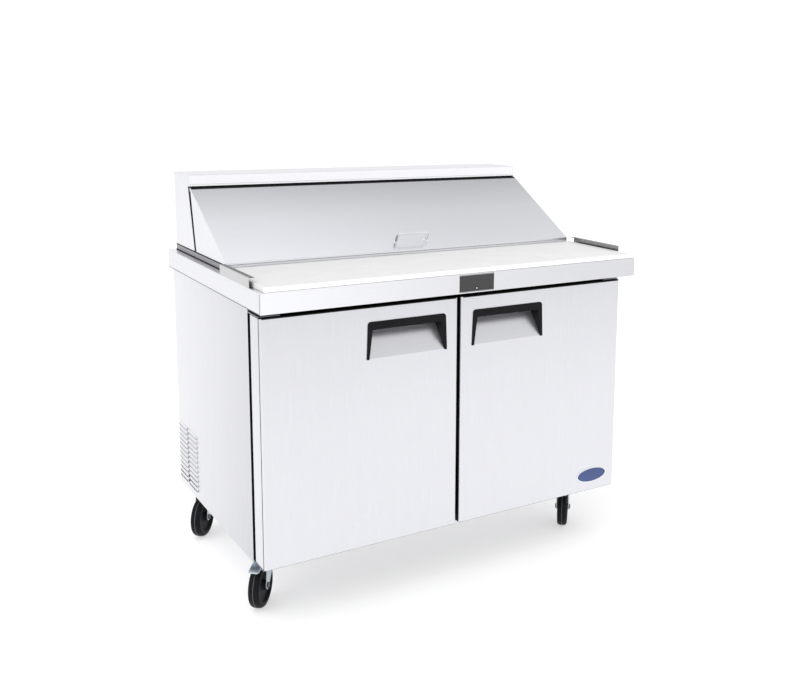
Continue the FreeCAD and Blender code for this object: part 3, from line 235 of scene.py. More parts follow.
# A dark band over the top and a lighter outer face: painted light and shade.
bracket_steel = brushed("bracket_steel", (0.58, 0.58, 0.58), (0.46, 0.46, 0.465), "Y", (0.24, 0.36), 1.0, 0.1,
                        ("|X|", [(0.585, 0.8), (0.598, 0.22), (0.6085, 0.22), (0.6105, 1.0)]))
liner = brushed("liner_metal", (0.78, 0.79, 0.80), (0.66, 0.67, 0.68), "Z", (0.34, 0.48), 0.9)
pan_steel = brushed("pan_steel", (0.84, 0.845, 0.86), (0.72, 0.73, 0.75), "X", (0.12, 0.22), 1.0, 0.03)
chrome = brushed("chrome", (0.88, 0.885, 0.90), (0.80, 0.81, 0.83), "X", (0.05, 0.12), 1.0, 0.01)
# Dark towards both ends of the rod: painted reflection.
rod_steel = brushed("rod_steel", (0.90, 0.90, 0.92), (0.84, 0.84, 0.86), "X", (0.08, 0.16), 1.0, 0.01,
                    ("X", [(-0.0486, 0.25), (-0.042, 0.9), (0.058, 0.9), (0.0646, 0.22)]))
zinc = coated("zinc", (0.70, 0.76, 0.82), (0.56, 0.62, 0.70), 900, (0.22, 0.40), 0.05, 1.0)
foam = coated("foam", (0.80, 0.70, 0.47), (0.70, 0.60, 0.38), 500, (0.80, 0.95), 0.4, 0.0, 0.001)
black_paint = coated("black_paint", (0.010, 0.010, 0.011), (0.018, 0.018, 0.020), 1200, (0.42, 0.55),
                     specular=0.25)
black_plastic = coated("black_plastic", (0.005, 0.005, 0.006), (0.009, 0.009, 0.010), 1500, (0.42, 0.55),
                       0.12, specular=0.12)
rubber = coated("seal_rubber", (0.005, 0.005, 0.006), (0.009, 0.009, 0.010), 700, (0.60, 0.75), 0.10,
                specular=0.12)
# A bright strip along the front edge and slightly darker towards the rear: painted highlight and shade.
board_white = coated("white_board", (0.72, 0.72, 0.712), (0.69, 0.69, 0.682), 1600, (0.50, 0.62), 0.25,
                     specular=0.3, shade=("Y", [(-0.414, 1.38), (-0.409, 1.0), (-0.10, 0.95)]))
controller = brushed("controller_grey", (0.062, 0.062, 0.062), (0.040, 0.040, 0.042), "X", (0.34, 0.48), 0.5,
                     0.08)
shelf_coat = coated("shelf_coating", (0.80, 0.80, 0.80), (0.72, 0.72, 0.72), 600, (0.25, 0.38), 0.06)
coil_fins = finned("aluminium_fins", (0.72, 0.73, 0.74), (0.18, 0.18, 0.19), "X", 0.0042)
bay_fins = finned("condenser_fins", (0.70, 0.71, 0.72), (0.16, 0.16, 0.17), "Y", 0.0042)
enamel = coated("compressor_black", (0.016, 0.016, 0.018), (0.03, 0.03, 0.032), 500, (0.22, 0.36), 0.1)
copper = coated("copper", (0.74, 0.40, 0.24), (0.60, 0.30, 0.17), 500, (0.20, 0.36), 0.05, 1.0)
tread = coated("caster_tread", (0.004, 0.004, 0.005), (0.008, 0.008, 0.010), 900, (0.42, 0.56), 0.15,
               specular=0.12)
parting_grey = coated("parting_grey", (0.11, 0.11, 0.12), (0.08, 0.08, 0.09), 900, (0.42, 0.55), 0.1)
hinge_zinc = coated("hinge_zinc", (0.30, 0.32, 0.35), (0.20, 0.215, 0.235), 900, (0.26, 0.42), 0.06, 1.0)
dark_steel = coated("dark_steel", (0.16, 0.17, 0.18), (0.10, 0.105, 0.11), 700, (0.28, 0.42), 0.08, 0.9)
# Grey of the painted louvre shadow lines: darker on the lowest rows, lighter higher up.
louvre_shadow_grey = coated("louvre_shadow_grey", (0.16, 0.16, 0.175), (0.11, 0.11, 0.12), 900, (0.5, 0.65), 0.1, specular=0.2,
                   shade=("Z", [(0.20, 0.4), (0.222, 0.5), (0.23, 2.2), (0.38, 3.0)]))
badge_blue = coated("badge_blue", (0.020, 0.055, 0.22), (0.016, 0.045, 0.18), 500, (0.16, 0.24), 0.03, 0.0,
                    0.0002, 0.6)

FINISHES = {
    steel["X"]: ["hood_back_panel", "pan_divider_bars", "front_frame", "bottom_panel"],
    steel["Z"]: ["back_panel", "hood_ends", "lid_ends"],
    door_steel: ["door_left_shell", "door_right_shell"],
    side_steel: ["side_panel_left", "side_panel_right"],
    top_steel: ["worktop"],
    lid_steel: ["lid_top_panel"],
    cover_steel: ["hood_top_cover"],
    collar_steel: ["pan_collar"],
    bracket_steel: ["board_brackets", "lid_hinge_pins"],
    liner: ["cabinet_liner", "door_left_liner", "door_right_liner"],
    pan_steel: ["food_pans"],
    rod_steel: ["lid_handle"],
    foam: ["cabinet_insulation", "worktop_insulation", "hood_insulation", "lid_insulation",
           "door_left_insulation", "door_right_insulation"],
    black_paint: ["base_rails"],
    rubber: ["hood_gasket", "door_left_gasket", "door_right_gasket"],
    board_white: ["cutting_board"],
    black_plastic: ["door_left_handle", "door_right_handle", "evaporator_fan", "condenser_fan",
                    "power_inlet_gland", "fan_shroud"],
    controller: ["controller_housing"],
    hinge_zinc: ["door_hinge_brackets"],
    zinc: ["caster_plates", "fasteners", "shelf_supports"],
    shelf_coat: ["wire_shelves"],
    coil_fins: ["evaporator_unit"],
    bay_fins: ["condenser_coil"],
    enamel: ["compressor"],
    copper: ["refrigerant_pipes"],
    tread: [],
}
for name in NODES:
    if name.startswith("caster_fork") or name.startswith("brake_pedal"):
        FINISHES[zinc].append(name)
    elif name.startswith("caster_wheel"):
        FINISHES[tread].append(name)
for material, names in FINISHES.items():
    for name in names:
        holder = NODES[name]
        holder.data.materials.clear()
        holder.data.materials.append(material)


def make_piece(name, shape, material, body, replaces=(), bevel=0.0, segments=2, smooth=35):
    """Turns a bmesh into a piece that rides on a body and takes its finish from its material."""
    bmesh.ops.recalc_face_normals(shape, faces=shape.faces)
    mesh = bpy.data.meshes.new(name)
    shape.to_mesh(mesh)
    shape.free()
    if "custom_normal" in mesh.attributes:
        mesh.attributes.remove(mesh.attributes["custom_normal"])
    mesh.materials.clear()
    mesh.materials.append(material)
    mesh.shade_smooth()
    mesh.set_sharp_from_angle(angle=math.radians(smooth))
    piece = bpy.data.objects.new(name, mesh)
    SCENE.collection.objects.link(piece)
    if bevel:
        rounding = piece.modifiers.new("rounding", "BEVEL")
        rounding.width = bevel
        rounding.segments = segments
        rounding.limit_method = "ANGLE"
        rounding.angle_limit = math.radians(30)
        rounding.harden_normals = True
    if replaces:
        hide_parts(*replaces)
    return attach(piece, body)


def softened(node, width, material, segments=2):
    """A copy of a CAD node with whole faces in place of triangles and rounded edges; it replaces the node."""
    shape = bmesh.new()
    shape.from_mesh(NODES[node].data)
    bmesh.ops.remove_doubles(shape, verts=shape.verts, dist=1e-5)
    bmesh.ops.dissolve_limit(shape, angle_limit=math.radians(1), verts=shape.verts, edges=shape.edges)
    return make_piece(f"{node}_edges", shape, material, NODES[node]["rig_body"], (node,), width, segments)


def lathe(shape, profile, steps=64, turn=Matrix.Identity(4)):
    """Turns a closed profile of (radius, height) once about local Z."""
    rings = []
    for k in range(steps):
        angle = 2 * math.pi * k / steps
        rings.append([
            shape.verts.new(turn @ Vector((r * math.cos(angle), r * math.sin(angle), h))) for r, h in profile
        ])
    for k in range(steps):
        near = rings[k]
        far = rings[(k + 1) % steps]
        for i in range(len(profile)):
            j = (i + 1) % len(profile)
            shape.faces.new((near[i], near[j], far[j], far[i]))


def slab(shape, outline, low, high, turn=Matrix.Identity(4)):
    """A plate from its outline in local XY, between two local Z levels."""
    base = [shape.verts.new(turn @ Vector((x, y, low))) for x, y in outline]
    top = [shape.verts.new(turn @ Vector((x, y, high))) for x, y in outline]
    shape.faces.new(base[::-1])
    shape.faces.new(top)
    for i in range(len(outline)):
        j = (i + 1) % len(outline)
        shape.faces.new((base[i], base[j], top[j], top[i]))


def rounded(corners, radii, steps=6):
    """A 2-D outline with each corner turned into an arc; one radius for all, or one for each corner."""
    if not isinstance(radii, (list, tuple)):
        radii = [radii] * len(corners)
    points = []
    for i, radius in enumerate(radii):
        corner = Vector(corners[i])
        if radius == 0:
            points.append(tuple(corner))
            continue
        before = (Vector(corners[i - 1]) - corner).normalized()
        after = (Vector(corners[(i + 1) % len(corners)]) - corner).normalized()
        half = before.angle(after) / 2
        centre = corner + (before + after).normalized() * (radius / math.sin(half))
        start = corner + before * (radius / math.tan(half)) - centre
        end = corner + after * (radius / math.tan(half)) - centre
        first = math.atan2(start.y, start.x)
        sweep = (math.atan2(end.y, end.x) - first + math.pi) % (2 * math.pi) - math.pi
        for k in range(steps + 1):
            angle = first + sweep * k / steps
            points.append((centre.x + radius * math.cos(angle), centre.y + radius * math.sin(angle)))
    return points


def box_outline(x, y):
    return [(x[0], y[0]), (x[1], y[0]), (x[1], y[1]), (x[0], y[1])]


def solid_box(shape, x, y, z):
    slab(shape, box_outline(x, y), z[0], z[1])


def picture_frame(shape, x, z, section):
    """Sweeps a closed section of (inset, Y) round a rectangle that stands in X and Z."""
    loops = []
    for inset, y in section:
        loops.append([
            shape.verts.new((across, y, up))
            for across, up in box_outline((x[0] + inset, x[1] - inset), (z[0] + inset, z[1] - inset))
        ])
    for i in range(len(section)):
        j = (i + 1) % len(section)
        for k in range(4):
            m = (k + 1) % 4
            shape.faces.new((loops[i][k], loops[i][m], loops[j][m], loops[j][k]))


def to_axis(axis):
    """Turns local Z onto X, Y or Z."""
    return {
        "X": Matrix.Rotation(math.radians(90), 4, "Y"),
        "Y": Matrix.Rotation(math.radians(-90), 4, "X"),
        "Z": Matrix.Identity(4),
    }[axis]


UPRIGHT = Matrix.Rotation(math.radians(90), 4, "X")  # local Y points up, local Z to the front
SIDEWAYS = Matrix(((0, 0, 1, 0), (1, 0, 0, 0), (0, 1, 0, 0), (0, 0, 0, 1)))  # local XYZ are Y, Z and X
POINT = 1e-4  # the radius that closes a turned shape's end

# profiles of (radius, height), both in the head's own radius
PAN_HEAD = [(POINT, 0), (1.0, 0), (1.0, 0.25), (0.86, 0.46), (0.6, 0.6), (0.3, 0.66), (0.26, 0.42),
            (POINT, 0.42)]
HEX_HEAD = [(POINT, 0), (1.5, 0), (1.5, 0.16), (1.1, 0.16), (1.1, 0.78), (0.98, 0.88), (POINT, 0.88)]


def head(shape, profile, radius, place, axis, away=1, steps=20):
    """A screw or bolt head that points along an axis, or against it where away is -1."""
    turn = Matrix.Translation(place) @ to_axis(axis)
    lathe(shape, [(r * radius, h * radius * away) for r, h in profile], steps, turn)


# ---------------------------------------------------------------- casters
SWIVEL_TURN = math.radians(50)
TRAIL = 0.038
LEG_INNER = 0.019
LEG_OUTER = 0.0215
CROWN = 0.143  # the top of the fork
PLATE_FOOT = 0.1545  # the underside of the mounting plates
WHEEL_HALF = [
    (0.0053, 0.0178), (0.0122, 0.0178), (0.0134, 0.0168), (0.0140, 0.0122), (0.0162, 0.0102), (0.0300, 0.0088),
    (0.0425, 0.0086), (0.0452, 0.0098), (0.0466, 0.0128), (0.0480, 0.0150), (0.0500, 0.0159), (0.0560, 0.0159),
    (0.0590, 0.0148), (0.0612, 0.0124), (0.0626, 0.0088), (0.0633, 0.0048), (0.0634, 0.0016), (0.0624, 0.0012),
]
CASTERS = ["front_left", "front_right", "rear_left", "rear_right"]


def caster_frame(name):
    """A point on the swivel's axis, the swivel's frame on the floor, and the wheel's frame about its axle.

    The wheel trails towards the swivel's local -X.
    """
    low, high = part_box(f"caster_wheel_{name}")
    middle = (low + high) / 2
    swivel = middle + TRAIL * Vector((math.cos(SWIVEL_TURN), math.sin(SWIVEL_TURN), 0))
    turn = Matrix.Translation((swivel.x, swivel.y, 0)) @ Matrix.Rotation(SWIVEL_TURN, 4, "Z")
    return swivel, turn, turn @ Matrix.Translation((-TRAIL, 0, middle.z)) @ to_axis("Y")


def make_wheel(name, hub):
    wheel = bmesh.new()
    profile = WHEEL_HALF + [(r, -t) for r, t in reversed(WHEEL_HALF)]
    lathe(wheel, profile, 96, hub)
    make_piece(f"wheel_tread_{name}", wheel, tread, f"wheel_{name}", (f"caster_wheel_{name}",), smooth=28)
    line = bmesh.new()
    lathe(line, [(0.0620, -0.0011), (0.0632, -0.0008), (0.0632, 0.0008), (0.0620, 0.0011)], 96, hub)
    make_piece(f"wheel_parting_line_{name}", line, parting_grey, f"wheel_{name}")
    sleeve = bmesh.new()
    for side in (-1, 1):
        lathe(sleeve, [(0.0053, side * 0.0165), (0.0092, side * 0.0165), (0.0092, side * 0.0181),
                       (0.0084, side * 0.0185), (0.0053, side * 0.0185)], 40, hub)
    make_piece(f"wheel_bearing_{name}", sleeve, zinc, f"wheel_{name}")


def make_fork(name, turn, hub):
    fork = bmesh.new()
    foot = [(-TRAIL + 0.0115 * math.cos(a), 0.0635 + 0.0115 * math.sin(a))
            for a in (2 * math.pi * k / 28 for k in range(28))]
    upper = [(-0.037, CROWN - 0.001), (0.024, CROWN - 0.001), (0.0255, CROWN - 0.004),
             (0.0235, CROWN - 0.016), (-0.0385, CROWN - 0.004), (-0.0385, CROWN - 0.014)]
    points = foot + upper
    leg = [points[i] for i in convex_hull_2d([Vector(p) for p in points])]
    upright = turn @ UPRIGHT
    slab(fork, leg, LEG_INNER, LEG_OUTER, upright)
    slab(fork, leg, -LEG_OUTER, -LEG_INNER, upright)
    crown = rounded(box_outline((-0.0385, 0.0255), (-LEG_OUTER, LEG_OUTER)), 0.004)
    slab(fork, crown, CROWN - 0.003, CROWN, turn)
    make_piece(f"fork_{name}", fork, zinc, f"swivel_{name}", (f"caster_fork_{name}",), 0.0006)
    race = bmesh.new()
    lathe(race, [(POINT, CROWN - 0.001), (0.0225, CROWN - 0.001), (0.0250, CROWN + 0.0012),
                 (0.0252, CROWN + 0.0040), (0.0232, CROWN + 0.0060), (0.0200, CROWN + 0.0072),
                 (POINT, CROWN + 0.0072)], 56, turn)
    lathe(race, [(POINT, CROWN + 0.0070), (0.0090, CROWN + 0.0070), (0.0090, CROWN + 0.0112),
                 (POINT, CROWN + 0.0112)], 24, turn)
    make_piece(f"swivel_race_{name}", race, zinc, f"swivel_{name}")
    ring = bmesh.new()
    lathe(ring, [(0.0150, CROWN + 0.0070), (0.0218, CROWN + 0.0070), (0.0226, CROWN + 0.0084),
                 (0.0218, CROWN + 0.0106), (0.0150, CROWN + 0.0108)], 56, turn)
    make_piece(f"swivel_seal_{name}", ring, rubber, f"swivel_{name}")
    axle = bmesh.new()
    nut = [(POINT, 0.0214), (0.0082, 0.0214), (0.0082, 0.0246), (0.0074, 0.0252), (POINT, 0.0252)]
    for side in (-1, 1):
        lathe(axle, [(r, side * t) for r, t in nut], 6, hub)
        lathe(axle, [(POINT, side * 0.0250), (0.0040, side * 0.0250), (0.0034, side * 0.0255),
                     (POINT, side * 0.0255)], 20, hub)
    lathe(axle, [(POINT, -0.0215), (0.0049, -0.0215), (0.0049, 0.0215), (POINT, 0.0215)], 24, hub)
    make_piece(f"axle_nut_{name}", axle, dark_steel, f"swivel_{name}")


def make_brake(name, turn):
    """The pedal: a curled barrel on its pin, an arm with a raised rim, and a turned-down toe."""
    upright = turn @ UPRIGHT
    side = [(-0.033, 0.139), (-0.037, 0.139), (-0.0865, 0.1275), (-0.0915, 0.1255), (-0.093, 0.1225),
            (-0.0905, 0.1226), (-0.085, 0.1248), (-0.040, 0.1352), (-0.0375, 0.1325), (-0.035, 0.1312),
            (-0.031, 0.1312), (-0.0290, 0.1332), (-0.0288, 0.1366), (-0.0300, 0.1385)]
    rim = [(-0.033, 0.139), (-0.037, 0.139), (-0.0865, 0.1275), (-0.0915, 0.1255), (-0.090, 0.1228),
           (-0.040, 0.1318), (-0.035, 0.1312), (-0.031, 0.1312), (-0.0285, 0.135)]
    half_width, rim_width = 0.0125, 0.0025
    pedal = bmesh.new()
    slab(pedal, side, -half_width, half_width, upright)
    for edge in (-half_width - rim_width, half_width):
        slab(pedal, rim, edge, edge + rim_width, upright)
    make_piece(f"brake_tab_{name}", pedal, zinc, f"brake_{name}", (f"brake_pedal_{name}",), 0.0005)


def make_casters():
    half_x, half_y, plate_low, plate_high = 0.048, 0.034, PLATE_FOOT, PLATE_FOOT + 0.0035
    plates = bmesh.new()
    for name in CASTERS:
        swivel, turn, hub = caster_frame(name)
        make_wheel(name, hub)
        make_fork(name, turn, hub)
        if name.startswith("front"):
            make_brake(name, turn)
        outline = box_outline((swivel.x - half_x, swivel.x + half_x), (swivel.y - half_y, swivel.y + half_y))
        slab(plates, rounded(outline, 0.009), plate_low, plate_high)
    make_piece("caster_mounting_plates", plates, zinc, "cabinet", ("caster_plates",), 0.0006)


# ---------------------------------------------------------------- doors
def make_gasket(word):
    """A magnetic seal: a wide lip against the frame, two bellows folds, and a root that clips into the door."""
    low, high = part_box(f"door_{word}_gasket")
    root = low.y
    section = [(0.0020, root), (0.0140, root), (0.0138, root + 0.0022), (0.0112, root + 0.0034),
               (0.0136, root + 0.0052), (0.0112, root + 0.0070), (0.0152, root + 0.0088), (0.0160, root + 0.0110),
               (0.0158, root + 0.0144), (0.0150, root + 0.0150), (0.0010, root + 0.0150), (0.0002, root + 0.0144),
               (0.0, root + 0.0110), (0.0008, root + 0.0088), (0.0046, root + 0.0070), (0.0022, root + 0.0052),
               (0.0046, root + 0.0034), (0.0022, root + 0.0022)]
    seal = bmesh.new()
    picture_frame(seal, (low.x, high.x), (low.z, high.z), section)
    make_piece(f"door_{word}_seal", seal, rubber, f"door_{word}", (f"door_{word}_gasket",), 0.0003)


def make_pull(word):
    """The black pull: a flared arch on the door's face, a grip bar, and cheeks that line the pocket."""
    low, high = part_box(f"door_{word}_handle")
    centre = (low.x + high.x) / 2
    face = low.y + 0.002
    base = Matrix.Translation((centre, face, 0)) @ UPRIGHT
    top, bar, foot = high.z, high.z - 0.023, low.z
    ceiling = top - 0.0053
    head_half, foot_half, foot_inner, shoulder, wall = 0.1225, 0.1265, 0.1188, 0.1085, 0.1182
    pocket_foot, skin = 0.7186, 0.0002
    knee = (0.044, 0.7995)  # the pocket's depth, and the level where its slope begins
    right = [(head_half, top), (foot_half, foot), (foot_inner, foot), (shoulder, bar)]
    arch = right + [(-x, z) for x, z in reversed(right)]
    pull = bmesh.new()
    slab(pull, rounded(arch, [0.009, 0.0015, 0.0015, 0, 0, 0.0015, 0.0015, 0.009]), -skin, 0.002, base)
    slab(pull, box_outline((-wall, wall), (bar, ceiling)), -0.004, 0.0, base)
    for sign in (-1, 1):
        def spot(depth, level, across):
            return pull.verts.new((centre + sign * across, face + depth, level))
        rim = [(skin, pocket_foot), knee, (knee[0], ceiling), (skin, ceiling)]
        outer = [spot(depth, level, wall) for depth, level in rim]
        toe = spot(skin, pocket_foot, wall - 0.0004)
        inner = [spot(depth, level, shoulder) for depth, level in (*rim[1:], (skin, knee[1]))]
        pull.faces.new(outer)
        pull.faces.new((toe, inner[0], inner[3]))
        pull.faces.new(inner)
        pull.faces.new((outer[0], outer[1], inner[0], toe))
        pull.faces.new((outer[1], outer[2], inner[1], inner[0]))
        pull.faces.new((outer[2], outer[3], inner[2], inner[1]))
        pull.faces.new((outer[3], outer[0], toe, inner[3], inner[2]))
    make_piece(f"door_{word}_pull", pull, black_plastic, f"door_{word}", (f"door_{word}_handle",), 0.0006)


def make_door_trim(word, side):
    """Black end caps; their lip over the front's head and wrap down the inner edge also paint gap shade; a strip
    down the outer side.
    """
    low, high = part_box(f"door_{word}_shell")
    skin, corner, inset = 0.0002, 0.0062, 0.0008
    plan = box_outline((low.x + inset, high.x - inset), (low.y + inset, high.y))
    outline = rounded(plan, [corner, corner, 0, 0])
    trim = bmesh.new()
    slab(trim, outline, high.z - skin, high.z + 0.0013)
    slab(trim, outline, low.z - 0.0011, low.z + skin)
    # the lip over the front's head: its black also paints the shade in the gap under the worktop
    solid_box(trim, (low.x + corner, high.x - corner), (low.y - 0.0005, low.y + skin),
              (high.z - 0.0022, high.z + 0.0013))
    inner, outer = (low.x, high.x) if side > 0 else (high.x, low.x)
    past_corner = low.y + 0.0060
    # the wrap down the inner edge: its black also paints the shade in the gap between the doors
    solid_box(trim, sorted((inner - side * 0.0006, inner + side * skin)), (past_corner, high.y),
              (low.z, high.z))
    # a black strip down the outer side, just behind the front corner
    solid_box(trim, sorted((outer + side * 0.0005, outer - side * skin)), (past_corner, past_corner + 0.0026),
              (low.z, high.z))
    make_piece(f"door_{word}_end_caps", trim, black_plastic, f"door_{word}", (), 0.00015)


def make_badge():
    """A blank domed oval plate with a bright rim, low on the outer side of the right door."""
    low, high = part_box("door_right_shell")
    half_width, half_height = 0.0610, 0.0232
    middle = Vector((high.x - 0.090, low.y, low.z + 0.050))
    turn = Matrix.Translation(middle) @ UPRIGHT @ Matrix.Diagonal((half_width, half_height, 1, 1))
    for name, material, rings in (
        ("badge_rim", chrome, [(0.92, 0.0002), (1.0, 0.0002), (1.0, 0.0010), (0.975, 0.0014), (0.93, 0.0014),
                               (0.92, 0.0010)]),
        ("badge_face", badge_blue, [(1e-3, 0.0002), (0.93, 0.0002), (0.93, 0.0011), (0.80, 0.0014),
                                    (0.5, 0.0017), (1e-3, 0.0018)]),
    ):
        plate = bmesh.new()
        lathe(plate, rings, 72, turn)
        make_piece(name, plate, material, "door_right", smooth=50)


# ---------------------------------------------------------------- worktop, lid and hood
LID_SLOPE = 29.2  # degrees
LID_REAR_FOOT = (0.188, 0.961)  # the rear foot of the lid's ends, in Y and Z
HANDLE_DISTANCE = 0.329  # from the lid's top edge down to its pull


def make_controller():
    """The flap over the controller: a bevelled plate, a hinge bead, a foot line and a small round catch."""
    low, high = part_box("controller_housing")
    face = low.y
    plate = bmesh.new()
    sides = (low.x + 0.0004, high.x - 0.0004)
    solid_box(plate, sides, (face + 0.0003, face + 0.004), (low.z + 0.0024, high.z - 0.0026))
    solid_box(plate, (low.x + 0.006, high.x - 0.006), (face + 0.004, high.y), (low.z + 0.002, high.z - 0.002))
    make_piece("controller_flap", plate, controller, "cabinet", ("controller_housing",), 0.0009)
    edge = bmesh.new()
    length = high.x - low.x - 0.001
    lathe(edge, [(POINT, 0), (0.0013, 0), (0.0013, length), (POINT, length)], 20,
          Matrix.Translation((low.x + 0.0005, face + 0.0014, high.z - 0.0013)) @ to_axis("X"))
    solid_box(edge, sides, (face + 0.0004, face + 0.003), (low.z, low.z + 0.0018))
    make_piece("controller_bead", edge, bracket_steel, "cabinet", (), 0.0002)
    turn = Matrix.Translation(((low.x + high.x) / 2, face + 0.0006, low.z + 0.0095)) @ UPRIGHT
    ring = bmesh.new()
    lathe(ring, [(0.0022, -0.0001), (0.0048, -0.0001), (0.0044, 0.0005), (0.0024, 0.0005)], 32, turn)
    make_piece("controller_catch_ring", ring, rubber, "cabinet")
    catch = bmesh.new()
    lathe(catch, [(POINT, -0.0001), (0.0021, -0.0001), (0.0021, 0.0003), (0.0014, 0.00055),
                  (POINT, 0.0006)], 28, turn)
    make_piece("controller_catch", catch, chrome, "cabinet")


def ring_loop(shape, centre, half_x, half_y, radius, level):
    """The vertices of a level rounded rectangle."""
    outline = box_outline((centre[0] - half_x, centre[0] + half_x), (centre[1] - half_y, centre[1] + half_y))
    return [shape.verts.new((x, y, level)) for x, y in rounded(outline, radius)]


def make_pans():
    """Twelve drawn pans with rounded corners, a flat rim and a rolled edge."""
    low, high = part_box("food_pans")
    rows, columns, half_x, half_y = 2, 6, 0.088, 0.081
    pitch_x = (high.x - low.x - 2 * half_x) / (columns - 1)
    pitch_y = (high.y - low.y - 2 * half_y) / (rows - 1)
    rings = [  # half sizes in X and Y, corner radius, and level below the rim
        (0.0660, 0.0590, 0.018, -0.1028), (0.0686, 0.0616, 0.021, -0.1006), (0.0780, 0.0710, 0.024, -0.0040),
        (0.0790, 0.0720, 0.024, -0.0018), (0.0868, 0.0798, 0.013, -0.0018), (0.0880, 0.0810, 0.013, -0.0014),
        (0.0880, 0.0810, 0.013, -0.0005), (0.0874, 0.0804, 0.013, 0.0), (0.0796, 0.0726, 0.024, 0.0),
        (0.0774, 0.0704, 0.023, -0.0012), (0.0768, 0.0698, 0.023, -0.0040), (0.0682, 0.0612, 0.020, -0.0990),
        (0.0655, 0.0585, 0.018, -0.1018),
    ]
    pans = bmesh.new()
    for row in range(rows):
        for column in range(columns):
            centre = (low.x + half_x + column * pitch_x, low.y + half_y + row * pitch_y)
            loops = [ring_loop(pans, centre, *ring[:3], high.z + ring[3]) for ring in rings]
            count = len(loops[0])
            for near, far in zip(loops, loops[1:]):
                for i in range(count):
                    j = (i + 1) % count
                    pans.faces.new((near[i], near[j], far[j], far[i]))
            pans.faces.new(loops[0])
            pans.faces.new(loops[-1])
    make_piece("food_pan_set", pans, pan_steel, "cabinet", ("food_pans",), smooth=50)


def both_sides(shape, outline, near, far):
    """The same plate, drawn in Y and Z, at each end of the unit."""
    for sign in (-1, 1):
        slab(shape, outline, *sorted((sign * near, sign * far)), SIDEWAYS)


def make_seals_and_strips():
    """Black strips behind the doors, under the overhang (its black also paints the shade there), and along the
    hood's leaning seams and foot.
    """
    frame_low, frame_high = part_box("front_frame")
    front = frame_low.y
    proud, sunk, border = front - 0.0008, front + 0.0002, 0.0306
    breaker = bmesh.new()
    section = [(0.0006, proud), (0.0300, proud), (border, sunk), (0.0006, sunk)]
    picture_frame(breaker, (frame_low.x, frame_high.x), (frame_low.z + 0.001, frame_high.z - 0.001), section)
    solid_box(breaker, (-0.0215, 0.0215), (proud, sunk),
              (frame_low.z + border + 0.001, frame_high.z - border - 0.001))
    make_piece("breaker_strips", breaker, black_plastic, "cabinet")
    top_low, top_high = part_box("worktop")
    underside, edge = top_low.z, 0.0012
    # a black-painted closing under the overhang; its black also stands in for the shade there
    closing = bmesh.new()
    solid_box(closing, (top_low.x + edge, top_high.x - edge), (top_low.y + edge, front - 0.001),
              (underside - 0.0004, underside + 0.0002))
    make_piece("overhang_underside", closing, black_paint, "cabinet")
    seams = bmesh.new()
    for outline in (
        box_outline((top_low.y + 0.003, top_high.y - 0.003), (underside + 0.0001, underside + 0.0018)),
        box_outline((top_low.y + 0.0004, top_low.y + 0.0014), (underside + 0.001, top_high.z - 0.002)),
    ):
        both_sides(seams, outline, top_high.x + 0.0001, top_high.x + 0.0006)
    make_piece("worktop_seams", seams, dark_steel, "cabinet", (), 0.0001)
    hood_low, hood_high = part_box("hood_ends")
    cover_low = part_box("hood_top_cover")[0]
    lid_low, lid_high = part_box("lid_ends")
    foot = (hood_low.y, hood_low.z + 0.0012)
    lip = (cover_low.y, cover_low.z - 0.0004)
    gap, width, outside = 0.0012, 0.0070, hood_high.x + 0.0001
    strips = bmesh.new()
    both_sides(strips, [(LID_REAR_FOOT[0] + gap, LID_REAR_FOOT[1]), (foot[0] - 0.0001, foot[1]),
                        (lip[0] - 0.0001, lip[1]), (lid_high.y + gap + 0.0016, lip[1])],
               hood_high.x - 0.0001, hood_high.x - 0.0012)
    both_sides(strips, [(foot[0] + 0.0002, foot[1]), (foot[0] + width, foot[1]), (lip[0] + width, lip[1]),
                        (lip[0] + 0.0002, lip[1])], outside, hood_high.x + 0.0010)
    for y, z, thick in (
        ((lid_low.y + 0.002, hood_high.y - 0.001), (hood_low.z - 0.0028, hood_low.z + 0.0004), 0.0008),
        ((lid_low.y + 0.004, hood_high.y), (hood_low.z - 0.0198, hood_low.z - 0.0174), 0.0016),
    ):
        both_sides(strips, box_outline(y, z), outside, hood_high.x + thick)
    make_piece("hood_seam_seals", strips, rubber, "cabinet")


def along_lid(distance, inward):
    """(Y, Z) of a point down the lid's face from its top edge, and that far in under it."""
    low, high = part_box("lid_top_panel")
    lean = math.radians(LID_SLOPE)
    return (high.y - distance * math.cos(lean) + inward * math.sin(lean),
            high.z - distance * math.sin(lean) - inward * math.cos(lean))


def make_lid_lining():
    """A black seal along the lid's head, and the bright tray that closes its foam from below."""
    low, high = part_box("lid_top_panel")
    seal = bmesh.new()
    outline = [along_lid(0.0002, -0.0006), along_lid(0.0066, -0.0006), along_lid(0.0072, 0.0002),
               along_lid(0.0002, 0.0002)]
    slab(seal, outline, low.x + 0.001, high.x - 0.001, SIDEWAYS)
    make_piece("lid_head_seal", seal, rubber, "lid", (), 0.0002)
    foam_low, foam_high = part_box("lid_insulation")
    length = (high.y - low.y) / math.cos(math.radians(LID_SLOPE)) - 0.024
    thick = 0.0190
    outer = [along_lid(0.0132, 0.0011), along_lid(0.0132, thick + 0.0008),
             along_lid(length - thick + 0.0004, thick + 0.0008), along_lid(length + 0.0012, 0.0011)]
    tray = bmesh.new()
    slab(tray, outer, foam_low.x - 0.0008, foam_high.x + 0.0008, SIDEWAYS)
    for x in (-0.28, 0.0, 0.28):
        bead = [along_lid(0.040, thick + 0.0007), along_lid(0.043, thick + 0.0022),
                along_lid(0.300, thick + 0.0022), along_lid(0.303, thick + 0.0007)]
        slab(tray, bead, x - 0.006, x + 0.006, SIDEWAYS)
    make_piece("lid_inner_tray", tray, liner, "lid", (), 0.0008)


